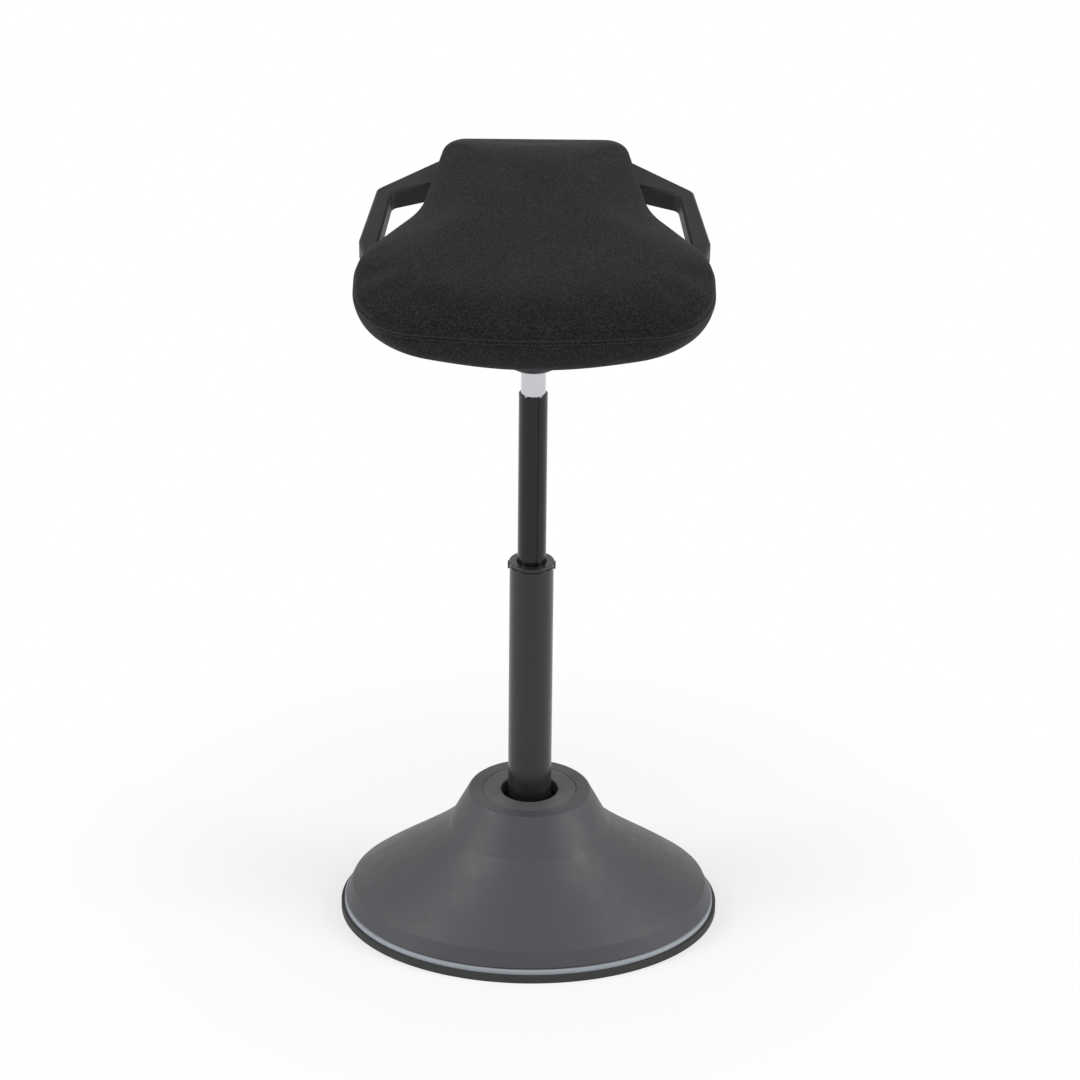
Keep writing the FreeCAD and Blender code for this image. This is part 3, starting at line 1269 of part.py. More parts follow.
def make_seat_fixings():
    nuts = []
    for x, y in seat_bolt_places():
        barrel = cylinder("nut_barrel", S["nut_radius"], S["board_thickness"] - 0.5, x, y, -(S["board_thickness"] - 0.5))
        flange = cylinder("nut_flange", S["nut_flange_radius"], S["nut_flange_height"], x, y, -S["nut_flange_height"])
        bore = cylinder("nut_bore", S["seat_bolt_radius"] + S["slide_play"], S["board_thickness"] + 2, x, y,
                        -S["board_thickness"] - 1)
        nuts.append(boolean("Cut", "nut", boolean("MultiFuse", "nut_blank", barrel, flange), bore))
    on_seat(named(boolean("Compound", "t_nuts", *nuts), "t_nuts"))
    bolts = screw_set("seat_bolts", seat_bolt_places(), Plan.plate_face, S["seat_bolt_head"],
                      S["seat_bolt_head_height"], S["seat_bolt_radius"],
                      S["mount_thickness"] + S["board_thickness"] - 1, False)
    on_seat(bolts)
    screw_places = handle_screw_places(1) + handle_screw_places(-1)
    screws = screw_set("handle_screws", screw_places, -S["handle_thickness"], S["handle_screw_head"],
                       S["screw_head_height"], S["handle_screw_radius"], S["handle_screw_length"], False)
    on_seat(screws)


def make_cushion():
    """Foam and cover as one solid: crown above the perimeter seam, drawn-in lip below it."""
    body = new_body("cushion_foam")
    rise, run = S["crown_height"], S["crown_run"]
    seam = new_sketch(body, "seam_outline", "XY_Plane", S["seam_height"])
    draw_outline(seam, seat_outline(Size(0, "0")))
    crown = []
    for part, height in ((0.08, 0.42), (0.26, 0.7), (0.57, 0.91), (1.0, 1.0)):
        level = S["seam_height"] + rise * height
        sketch = new_sketch(body, "crown_outline", "XY_Plane", level)
        draw_outline(sketch, seat_outline(run * part, S["crown_ease"] * part))
        crown.append(sketch)
    lip = []
    for drop, tuck in ((0.25, 0.04), (0.76, 0.3), (1.0, 1.0)):
        sketch = new_sketch(body, "lip_outline", "XY_Plane", -(S["lip_drop"] * drop))
        draw_outline(sketch, seat_outline(S["lip_tuck"] * tuck, 0, S["lip_round"] * tuck))
        lip.append(sketch)
    top = body.newObject("PartDesign::AdditiveLoft", "crown")
    top.Profile = seam
    top.Sections = crown
    side = body.newObject("PartDesign::AdditiveLoft", "lip")
    side.Profile = seam
    side.Sections = lip
    room = new_sketch(body, "board_room_outline", "XY_Plane", Size(0, "0"))
    draw_outline(room, seat_outline(S["board_inset"] - S["pocket_play"], S["board_ease"]))
    pocketed(body, "board_room", room, S["lip_drop"] + 5)
    relief = new_sketch(body, "relief_outline", "XY_Plane", Size(0, "0"))
    wide = S["lobe_width"] + 20
    draw_outline(relief, [(-wide, -S["relief_reach"]), (wide, -S["relief_reach"]),
                          (wide, S["end_reach"] + 20), (-wide, S["end_reach"] + 20)])
    pocketed(body, "relief", relief, S["lip_drop"] + 5)
    drum = across("lip_drum", S["lip_bow"], S["end_reach"] * 4, 0, S["lip_bow"] - S["lip_drop"])
    on_seat(named(boolean("Common", "cushion_bowed", body, drum), "cushion"))


def handle_outline(side):
    front_x, front_y = handle_screw_places(1)[0]
    end_x, end_y = handle_screw_places(1)[2]
    tab, bend = S["tab_margin"], S["handle_bend"]
    corners = [
        (front_x - tab, front_y - tab, 8),
        (front_x + tab / 3, front_y - tab, bend),
        (S["handle_front_x"], S["handle_front_y"], bend),
        (S["handle_outer_x"], S["handle_outer_y"], bend),
        (S["handle_top_x"], S["handle_top_y"], bend),
        (S["handle_root_x"], S["handle_root_y"], bend),
        (end_x - tab, end_y + tab, bend),
        (end_x - tab, end_y - S["end_screw_pitch"] - tab, bend),
        (S["handle_inner_root_x"], S["handle_inner_root_y"], bend),
        (S["handle_inner_x"], S["handle_inner_y"], bend),
        (S["handle_low_x"], S["handle_low_y"], 6),
        (front_x - tab, front_y + S["tab_screw_pitch"] + tab, 8),
    ]
    return [(x * side, y, radius) for x, y, radius in corners]


def make_handle(label, side):
    """Closed bar beside the seat, with tabs that are screwed to the board from below."""
    body = new_body(label)
    sketch = new_sketch(body, label + "_outline", "XY_Plane", -S["handle_thickness"])
    draw_outline(sketch, handle_outline(side))
    padded(body, label + "_pad", sketch, S["handle_thickness"] - S["handle_edge"])
    upper = new_sketch(body, label + "_upper_outline", "XY_Plane", -S["handle_edge"])
    draw_outline(upper, handle_outline(side))
    chamfer = padded(body, label + "_chamfer", upper, S["handle_edge"])
    chamfer.TaperAngle = -45
    room = new_sketch(body, label + "_board_outline", "XY_Plane", Size(0, "0"))
    draw_outline(room, seat_outline(S["board_inset"] - S["edge_gap"], S["board_ease"]))
    pocketed(body, label + "_board_room", room, S["board_thickness"])
    drill_board(body, label + "_holes", S["handle_screw_radius"] + S["hole_play"], handle_screw_places(side),
                S["handle_thickness"])
    on_seat(body)
    named(body, label)


def main():
    make_foot_mat()
    make_base_plate()
    make_trim_ring()
    make_dome_cover()
    make_neck_insert()
    make_socket_housing()
    make_ball_liner()
    make_retainer_ring()
    make_elastomer_ring()
    make_foot_screws()
    make_ball_foot()
    make_outer_tube()
    make_rod_anchor()
    make_piston_rod()
    make_guide_collar()
    make_gas_cylinder()
    make_valve_pin()
    make_sleeve()
    make_taper_hub()
    make_lever()
    make_mechanism_cover()
    make_seat_board()
    make_seat_fixings()
    make_cushion()
    make_handle("right_handle", 1)
    make_handle("left_handle", -1)
    write_parts()


def write_parts():
    DOC.recompute()
    for item in DOC.Objects:
        if "Invalid" in item.State or "Error" in item.State:
            raise RuntimeError("failed: %s %s" % (item.Name, item.State))
    os.makedirs("parts", exist_ok=True)
    for item in PARTS:
        shape = item.Shape
        if shape.isNull() or not shape.isValid():
            raise RuntimeError("bad shape: %s" % item.Label)
        shape.exportStep("parts/%s.step" % item.Label)
        box = shape.BoundBox
        print("%-18s solids %2d  volume %10.1f  z %7.1f to %7.1f" % (
            item.Label, len(shape.Solids), shape.Volume, box.ZMin, box.ZMax))


main()
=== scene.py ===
import math
import random

import bmesh
import bpy
import numpy as np
from mathutils import Matrix, Vector
from mathutils.bvhtree import BVHTree
from mathutils.kdtree import KDTree


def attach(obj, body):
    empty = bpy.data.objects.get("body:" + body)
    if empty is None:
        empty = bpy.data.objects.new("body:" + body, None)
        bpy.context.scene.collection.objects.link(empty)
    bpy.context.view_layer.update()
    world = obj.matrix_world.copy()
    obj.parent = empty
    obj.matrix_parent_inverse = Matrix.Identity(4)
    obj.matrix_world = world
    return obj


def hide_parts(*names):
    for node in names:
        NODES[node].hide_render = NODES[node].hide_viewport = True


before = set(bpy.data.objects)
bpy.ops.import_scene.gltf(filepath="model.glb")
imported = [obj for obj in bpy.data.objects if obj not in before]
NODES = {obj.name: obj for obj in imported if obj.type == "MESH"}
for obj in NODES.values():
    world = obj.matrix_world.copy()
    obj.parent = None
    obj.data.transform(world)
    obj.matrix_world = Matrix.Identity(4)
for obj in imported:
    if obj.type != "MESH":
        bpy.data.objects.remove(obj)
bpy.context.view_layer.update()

# All sizes are in metres. In the seat frame, u runs across, v towards the narrow end and s up from the face
# of the board.
SEAT_LEVEL = 0.808
SEAT_TILT = math.radians(15)

# Corners of the seat's outline, front middle and right half: place, and shift for each metre of inset.
FRONT = ((0.0, -0.1455), (0, 1))
LOBE_FRONT = ((0.198, -0.1265), (-1, 0.91))
LOBE_BACK = ((0.198, -0.006), (-1, -0.35))
WAIST = ((0.128, 0.080), (-0.93, -0.44))
END = ((0.102, 0.216), (-0.82, -1))

# Rounding of those corners.
FRONT_ROUND = 0.80
LOBE_FRONT_ROUND = 0.075
LOBE_BACK_ROUND = 0.090
WAIST_ROUND = 0.090
END_ROUND = 0.028

# Arcs of the outline are cut into steps of about this length, and at least this many.
ARC_STEP = 0.002
ARC_FEWEST = 6

# The crown: height of its seam, rise above that, how far in it rises, and its shape, lower for a fuller one.
SEAM = 0.012
CROWN = 0.022
CROWN_RUN = 0.070
CROWN_SHAPE = 0.47

# The spine that the crown's rings draw in to: its v for the v of the edge.
SPINE_EDGE = (-0.146, -0.06, 0.04, 0.14, 0.216)
SPINE = (-0.078, -0.045, 0.02, 0.11, 0.165)

# Rings of the crown, as shares of the way from the edge to the spine.
CROWN_RINGS = (0.93, 0.84, 0.74, 0.64, 0.54, 0.45, 0.37, 0.30, 0.24, 0.185, 0.14, 0.105, 0.075, 0.052, 0.035,
               0.022, 0.013, 0.007, 0.003)

# The front lip: depth below the board's face, tuck, rounding, radius of its bowed lower edge, and where it
# fades into the shallow edge behind it.
LIP = 0.042
LIP_TUCK = 0.013
LIP_ROUND = 0.024
LIP_BOW = 0.9
LIP_FADE = (-0.112, -0.014)
EDGE_DEPTH = 0.0015

# Rings of the lip, as shares of its depth and of its tuck.
LIP_RINGS = ((0.02, 0.0), (0.045, 0.0), (0.08, 0.0), (0.13, 0.0), (0.22, 0.01), (0.35, 0.03), (0.5, 0.06),
             (0.64, 0.13), (0.78, 0.26), (0.88, 0.45), (0.95, 0.70), (0.985, 0.9), (1.0, 1.1))

# The pocket for the board: inset and rounding of its outline, and its level.
POCKET_INSET = 0.0212
POCKET_EASE = 0.004
POCKET_LEVEL = 0.0004

# The seam's groove: depth, and the share of it on each ring, counted from the seam.
SEAM_DEPTH = 0.0014
GROOVE = ((-3, 0.1), (-2, 0.35), (-1, 0.75), (0, 1.0), (1, 0.7), (2, 0.25))

# The swelling of the cover: frames of cloth, start inside the cover, most movement, size of the rough mesh,
# and reach and blur with which its movement is handed on.
SWELL_FRAMES = 20
SWELL_START = 0.002
SWELL_CAP = 0.0028
SWELL_VOXEL = 0.0055
SWELL_REACH = 0.024
SWELL_BLUR = 0.010

# The cloth is held below this level behind this v, and the cover doesn't swell at the seam or at the board.
HELD_LEVEL = 0.004
HELD_BEHIND = -0.118
SEAM_HOLD = 0.012
BOARD_HOLD = 0.002

# Topstitching: length, gap and its scatter, rows below the seam, last v that has stitches, and the thread.
STITCH = 0.0030
STITCH_GAP = 0.0011
STITCH_SCATTER = 0.0001
STITCH_DROPS = (0.0045, 0.0095)
STITCH_END = -0.03
THREAD_RADIUS = 0.00032
THREAD_CLEAR = 0.00005
THREAD_STEPS = 5
THREAD_SIDES = 6

# Loops of the knit and layers of the plywood.
LOOP_WIDTH = 0.0014
LOOP_HEIGHT = 0.0012
PLY_PITCH = 0.0024

# Most of a noise lies between these values.
NOISE_RANGE = (0.3, 0.7)

CAMERA_PLACE = (0, -4.889, 2.828)

# Soft boxes: name, place, what each looks at, width and height, and power.
LAMPS = (
    ("left", (-2.9, -0.9, 2.1), (0, 0, 0.4), (1.6, 2.2), 70),
    ("right", (2.9, -0.8, 1.9), (0, 0, 0.4), (1.6, 2.2), 70),
    ("front", (-0.3, -3.2, 2.8), (0, 0, 0.5), (1.6, 1.2), 8),
)


def add_object(name, data):
    obj = bpy.data.objects.new(name, data)
    bpy.context.collection.objects.link(obj)
    return obj


# Camera, lights and stage


def make_camera():
    """The photograph's view: level turn, downward pitch and a slight roll."""
    turn, pitch, roll = math.radians(0.107), math.radians(25.7), math.radians(0.6)
    level = math.cos(pitch)
    forward = Vector((math.sin(turn) * level, math.cos(turn) * level, -math.sin(pitch)))
    right = Vector((math.cos(turn), -math.sin(turn), 0))
    up = right.cross(forward)
    rolled_right = right * math.cos(roll) + up * math.sin(roll)
    rolled_up = up * math.cos(roll) - right * math.sin(roll)
    data = bpy.data.cameras.new("camera")
    data.lens = 160
    data.sensor_width = 36
    data.clip_start = 0.1
    data.clip_end = 60
    camera = add_object("camera", data)
    axes = Matrix((rolled_right, rolled_up, -forward)).transposed().to_4x4()
    camera.matrix_world = Matrix.Translation(CAMERA_PLACE) @ axes
    bpy.context.scene.camera = camera


def area_lamp(name, place, target, size, power):
    data = bpy.data.lights.new(name, "AREA")
    data.shape = "RECTANGLE"
    data.size, data.size_y = size
    data.energy = power
    lamp = add_object(name, data)
    lamp.location = place
    aim = Vector(target) - Vector(place)
    lamp.rotation_mode = "QUATERNION"
    lamp.rotation_quaternion = aim.to_track_quat("-Z", "Y")


def seen_directly(tree):
    """1 for rays from the camera, in reflections and through glass, and 0 for the light on the object."""
    path = tree.nodes.new("ShaderNodeLightPath")
    total = path.outputs["Is Camera Ray"]
    for name in ("Is Glossy Ray", "Is Transmission Ray"):
        larger = tree.nodes.new("ShaderNodeMath")
        larger.operation = "MAXIMUM"
        tree.links.new(total, larger.inputs[0])
        tree.links.new(path.outputs[name], larger.inputs[1])
        total = larger.outputs[0]
    return total


def blended(tree, share, first, second):
    """A mix of two shaders, the second one by its share."""
    mix = tree.nodes.new("ShaderNodeMixShader")
    for source, target in zip((share, first, second), mix.inputs):
        tree.links.new(source, target)
    return mix.outputs[0]


def make_world():
    """White where it is seen, plain grey light on the object."""
    world = bpy.data.worlds.new("studio")
    bpy.context.scene.world = world
    world.use_nodes = True
    tree = world.node_tree
    tree.nodes.clear()
    out = tree.nodes.new("ShaderNodeOutputWorld")
    seen = tree.nodes.new("ShaderNodeBackground")
    seen.inputs["Color"].default_value = (1, 1, 1, 1)
    seen.inputs["Strength"].default_value = 1.0
    fill = tree.nodes.new("ShaderNodeBackground")
    fill.inputs["Color"].default_value = (0.96, 0.96, 1.0, 1)
    fill.inputs["Strength"].default_value = 0.45
    light = blended(tree, seen_directly(tree), fill.outputs[0], seen.outputs[0])
    tree.links.new(light, out.inputs["Surface"])


def make_floor():
    """Pale floor that keeps the stool's soft shadow and meets the white backdrop further out."""
    mesh = bpy.data.meshes.new("floor")
    far = 14
    mesh.from_pydata([(-far, -far, 0), (far, -far, 0), (far, far, 0), (-far, far, 0)], [], [(0, 1, 2, 3)])
    floor = add_object("floor", mesh)
    made = bpy.data.materials.new("floor_white")
    made.use_nodes = True
    tree = made.node_tree
    shader = tree.nodes["Principled BSDF"]
    shader.inputs["Base Color"].default_value = (0.93, 0.93, 0.93, 1)
    shader.inputs["Roughness"].default_value = 0.9
    shader.inputs["Specular IOR Level"].default_value = 0.1
    white = tree.nodes.new("ShaderNodeEmission")
    white.inputs["Strength"].default_value = 1.0
    place = tree.nodes.new("ShaderNodeTexCoord")
    distance = tree.nodes.new("ShaderNodeVectorMath")
    distance.operation = "LENGTH"
    tree.links.new(place.outputs["Object"], distance.inputs[0])
    share = tree.nodes.new("ShaderNodeMapRange")
    share.interpolation_type = "SMOOTHSTEP"
    share.inputs["From Min"].default_value = 0.25
    share.inputs["From Max"].default_value = 0.75
    share.inputs["To Min"].default_value = 0.55
    share.inputs["To Max"].default_value = 1.0
    tree.links.new(distance.outputs["Value"], share.inputs["Value"])
    both = tree.nodes.new("ShaderNodeMath")
    both.operation = "MULTIPLY"
    tree.links.new(seen_directly(tree), both.inputs[0])
    tree.links.new(share.outputs["Result"], both.inputs[1])
    surface = blended(tree, both.outputs[0], shader.outputs[0], white.outputs[0])
    tree.links.new(surface, tree.nodes["Material Output"].inputs["Surface"])
    mesh.materials.append(made)


# Materials


def scaled(colour, share):
    return tuple(c * share for c in colour)


class Surface:
    """A node tree with its shader, and helpers that add procedural detail in object space."""

    def __init__(self, name):
        self.material = bpy.data.materials.new(name)
        self.material.use_nodes = True
        self.tree = self.material.node_tree
        self.shader = self.tree.nodes["Principled BSDF"]
        self.place = self.tree.nodes.new("ShaderNodeTexCoord")
        self.bump_end = None

    def set(self, **values):
        names = {
            "metallic": "Metallic",
            "specular": "Specular IOR Level",
            "coat": "Coat Weight",
            "coat_roughness": "Coat Roughness",
            "sheen": "Sheen Weight",
            "sheen_roughness": "Sheen Roughness",
        }
        for key, value in values.items():
            self.shader.inputs[names[key]].default_value = value

    def add(self, kind, **settings):
        node = self.tree.nodes.new(kind)
        for key, value in settings.items():
            setattr(node, key, value)
        return node

    def link(self, source, target):
        self.tree.links.new(source, target)

    def mapped(self, scale=(1, 1, 1), rotation=(0, 0, 0)):
        node = self.add("ShaderNodeMapping")
        node.inputs["Scale"].default_value = scale
        node.inputs["Rotation"].default_value = rotation
        self.link(self.place.outputs["Object"], node.inputs["Vector"])
        return node.outputs["Vector"]

    def noise(self, size, detail=3, rough=0.55, stretch=(1, 1, 1)):
        """Noise whose features are about size metres across."""
        node = self.add("ShaderNodeTexNoise")
        node.inputs["Scale"].default_value = 1 / size
        node.inputs["Detail"].default_value = detail
        node.inputs["Roughness"].default_value = rough
        self.link(self.mapped(stretch), node.inputs["Vector"])
        return node.outputs["Fac"]

    def cells(self, size, feature="F1"):
        node = self.add("ShaderNodeTexVoronoi", feature=feature)
        node.inputs["Scale"].default_value = 1 / size
        self.link(self.mapped(), node.inputs["Vector"])
        return node.outputs["Distance"]

    def ramp(self, source, stops):
        node = self.add("ShaderNodeValToRGB")
        while len(node.color_ramp.elements) < len(stops):
            node.color_ramp.elements.new(0.5)
        for element, (position, colour) in zip(node.color_ramp.elements, stops):
            element.position = position
            element.color = (*colour, 1)
        self.link(source, node.inputs["Fac"])
        return node.outputs["Color"]

    def span(self, source, low, high, start=0.0, end=1.0):
        """Maps start to end onto low to high."""
        node = self.add("ShaderNodeMapRange")
        node.inputs["From Min"].default_value = start
        node.inputs["From Max"].default_value = end
        node.inputs["To Min"].default_value = low
        node.inputs["To Max"].default_value = high
        self.link(source, node.inputs["Value"])
        return node.outputs["Result"]

    def combine(self, operation, first, second):
        node = self.add("ShaderNodeMath", operation=operation)
        self.link(first, node.inputs[0])
        self.link(second, node.inputs[1])
        return node.outputs[0]

    def wave(self, source, pitch):
        """A sine from -1 to 1 that comes round once for each pitch."""
        turns = self.add("ShaderNodeMath", operation="MULTIPLY")
        turns.inputs[1].default_value = 2 * math.pi / pitch
        self.link(source, turns.inputs[0])
        wavy = self.add("ShaderNodeMath", operation="SINE")
        self.link(turns.outputs[0], wavy.inputs[0])
        return wavy.outputs[0]

    def mix(self, factor, first, second, blend="MIX"):
        node = self.add("ShaderNodeMix", data_type="RGBA", blend_type=blend)
        for socket, value in ((0, factor), (6, first), (7, second)):
            if isinstance(value, (int, float)):
                node.inputs[socket].default_value = value
            elif isinstance(value, tuple):
                node.inputs[socket].default_value = (*value, 1)
            else:
                self.link(value, node.inputs[socket])
        return node.outputs[2]

    def colour(self, source):
        if isinstance(source, tuple):
            self.shader.inputs["Base Color"].default_value = (*source, 1)
        else:
            self.link(source, self.shader.inputs["Base Color"])

    def rough(self, source):
        self.link(source, self.shader.inputs["Roughness"])

    def bump(self, height, depth, strength=1.0):
        """Adds one layer of bump. Depth is in metres."""
        node = self.add("ShaderNodeBump")
        node.inputs["Strength"].default_value = strength
        node.inputs["Distance"].default_value = depth
        self.link(height, node.inputs["Height"])
        if self.bump_end is not None:
            self.link(self.bump_end, node.inputs["Normal"])
        self.bump_end = node.outputs["Normal"]
        self.link(self.bump_end, self.shader.inputs["Normal"])


def grained_plastic(name, shade, roughness, grain, depth, spread=0.12, tint=(1, 1, 1.03), specular=0.4):
    """Moulded plastic with a spark-eroded grain and faint handling marks."""
    made = Surface(name)
    dark = scaled(tint, shade * (1 - spread))
    light = scaled(tint, shade * (1 + spread))
    fine = made.noise(grain, detail=2, rough=0.6)
    wide = made.noise(0.06, detail=4)
    tone = made.ramp(fine, [(0.3, dark), (0.7, light)])
    soft = made.ramp(wide, [(0.35, scaled(light, 0.93)), (0.65, light)])
    made.colour(made.mix(0.35, tone, soft))
    made.rough(made.span(made.noise(0.02, detail=5), roughness - 0.05, roughness + 0.06, *NOISE_RANGE))
    made.bump(made.cells(grain * 1.6, feature="SMOOTH_F1"), depth, 0.6)
    made.bump(fine, depth * 0.6, 0.5)
    made.set(specular=specular)
    return made.material


def painted(name, shade, roughness, coat=0.0, orange=0.00002, tint=(1, 1, 1.04), specular=0.45):
    """Powder coat or lacquer with a faint orange peel and fine dust."""
    made = Surface(name)
    base = scaled(tint, shade)
    wide = made.noise(0.05, detail=5)
    made.colour(made.ramp(wide, [(0.35, scaled(base, 0.85)), (0.7, scaled(base, 1.15))]))
    made.rough(made.span(made.noise(0.012, detail=4), roughness - 0.03, roughness + 0.05, *NOISE_RANGE))
    made.bump(made.noise(0.0016, detail=2), orange, 0.5)
    made.set(specular=specular, coat=coat, coat_roughness=0.06)
    return made.material


def turned_metal(name, colour, roughness, streak=0.0004):
    """Machined metal with fine rings and a little variation in colour."""
    made = Surface(name)
    rings = made.noise(streak, detail=2, stretch=(0.06, 0.06, 1))
    wide = made.noise(0.02, detail=4)
    made.colour(made.ramp(wide, [(0.3, scaled(colour, 0.82)), (0.7, colour)]))
    made.rough(made.span(rings, roughness - 0.06, roughness + 0.10, *NOISE_RANGE))
    made.bump(rings, 0.00001, 0.4)
    made.set(metallic=1.0)
    return made.material


def plated_screw(name, colour, roughness):
    made = Surface(name)
    spots = made.noise(0.003, detail=4)
    made.colour(made.ramp(spots, [(0.3, scaled(colour, 0.7)), (0.7, colour)]))
    made.rough(made.span(spots, roughness - 0.08, roughness + 0.1, *NOISE_RANGE))
    made.bump(made.noise(0.0006), 0.00002, 0.4)
    made.set(metallic=1.0)
    return made.material


def rubber(name, shade):
    made = Surface(name)
    fine = made.noise(0.0009, detail=3)
    made.colour(made.ramp(fine, [(0.3, (shade * 0.8,) * 3), (0.7, (shade * 1.2,) * 3)]))
    made.rough(made.span(made.noise(0.03, detail=4), 0.62, 0.8, *NOISE_RANGE))
    made.bump(fine, 0.00005, 0.5)
    made.set(specular=0.3)
    return made.material


def chrome(name):
    made = Surface(name)
    smear = made.noise(0.02, detail=5)
    made.colour((0.56, 0.57, 0.60))
    made.rough(made.span(smear, 0.05, 0.11, *NOISE_RANGE))
    made.bump(made.noise(0.0008, stretch=(1, 1, 0.05)), 0.000004, 0.4)
    made.set(metallic=1.0)
    return made.material


def plywood(name):
    """Black-stained veneer faces with plies showing along the edge."""
    made = Surface(name)
    tilted = made.mapped(rotation=(-SEAT_TILT, 0, 0))
    stretched = made.add("ShaderNodeMapping")
    stretched.inputs["Scale"].default_value = (4, 0.25, 1)
    made.link(tilted, stretched.inputs["Vector"])
    grain = made.add("ShaderNodeTexNoise")
    grain.inputs["Scale"].default_value = 60
    grain.inputs["Detail"].default_value = 6
    made.link(stretched.outputs["Vector"], grain.inputs["Vector"])
    fibres = grain.outputs["Fac"]
    face = made.ramp(fibres, [(0.3, (0.018, 0.016, 0.014)), (0.7, (0.045, 0.040, 0.036))])
    split = made.add("ShaderNodeSeparateXYZ")
    made.link(tilted, split.inputs[0])
    layer = made.span(made.wave(split.outputs["Z"], PLY_PITCH), 0.75, 1.0, -1, 1)
    plies = made.ramp(layer, [(0.75, (0.012, 0.010, 0.009)), (1.0, (0.06, 0.052, 0.045))])
    made.colour(made.mix(0.35, face, plies))
    made.rough(made.span(fibres, 0.5, 0.7))
    made.bump(fibres, 0.00006, 0.5)
    return made.material


def knit(name):
    """Fine black knit: rows of loops with painted shade in their hollows, a melange of dark yarns, lint and a
    soft sheen.
    """
    made = Surface(name)
    tilted = made.mapped(rotation=(-SEAT_TILT, 0, 0))
    warp = made.noise(0.012, detail=2)
    moved = made.add("ShaderNodeVectorMath", operation="MULTIPLY_ADD")
    moved.inputs[1].default_value = (0.0006, 0.0006, 0.0006)
    joined = made.add("ShaderNodeCombineXYZ")
    for axis in ("X", "Y", "Z"):
        made.link(warp, joined.inputs[axis])
    made.link(joined.outputs[0], moved.inputs[0])
    made.link(tilted, moved.inputs[2])
    split = made.add("ShaderNodeSeparateXYZ")
    made.link(moved.outputs[0], split.inputs[0])
    across = made.wave(split.outputs["X"], LOOP_WIDTH)
    top = made.combine("MULTIPLY", across, made.wave(split.outputs["Y"], LOOP_HEIGHT))
    side = made.combine("MULTIPLY", across, made.wave(split.outputs["Z"], LOOP_HEIGHT))
    loops = made.span(made.combine("ADD", top, side), 0.0, 1.0, -1.6, 1.6)
    yarn = made.noise(0.0024, detail=4, rough=0.8)
    cloudy = made.noise(0.045, detail=4)
    base = made.ramp(yarn, [(0.40, (0.0035, 0.0032, 0.0038)), (0.50, (0.0105, 0.0100, 0.0112)),
                            (0.62, (0.029, 0.027, 0.031))])
    worn = made.ramp(cloudy, [(0.35, (0.85, 0.85, 0.85)), (0.7, (1.12, 1.12, 1.12))])
    shaded = made.mix(1.0, base, worn, "MULTIPLY")
    # Painted shade: the colour darkens in the hollows between the loops.
    painted_loop_shade = made.ramp(loops, [(0.15, (0.62, 0.62, 0.62)), (0.75, (1.12, 1.12, 1.12))])
    shaded = made.mix(0.8, shaded, painted_loop_shade, "MULTIPLY")
    lint = made.ramp(made.cells(0.011), [(0.030, (0.16, 0.16, 0.17)), (0.042, (0, 0, 0))])
    made.colour(made.mix(0.5, shaded, lint, "ADD"))
    made.rough(made.span(yarn, 0.82, 0.98))
    made.bump(loops, 0.00028, 0.75)
    made.bump(yarn, 0.00022, 0.5)
    made.bump(made.noise(0.02, detail=3), 0.0006, 0.25)
    made.set(specular=0.1, sheen=0.10, sheen_roughness=0.5)
    return made.material


def thread(name):
    made = Surface(name)
    ply = made.noise(0.0004, detail=2, stretch=(1, 1, 3))
    made.colour(made.ramp(ply, [(0.3, (0.010, 0.010, 0.011)), (0.7, (0.035, 0.035, 0.038))]))
    made.rough(made.span(ply, 0.5, 0.75))
    made.bump(ply, 0.00006, 0.6)
    made.set(sheen=0.1)
    return made.material


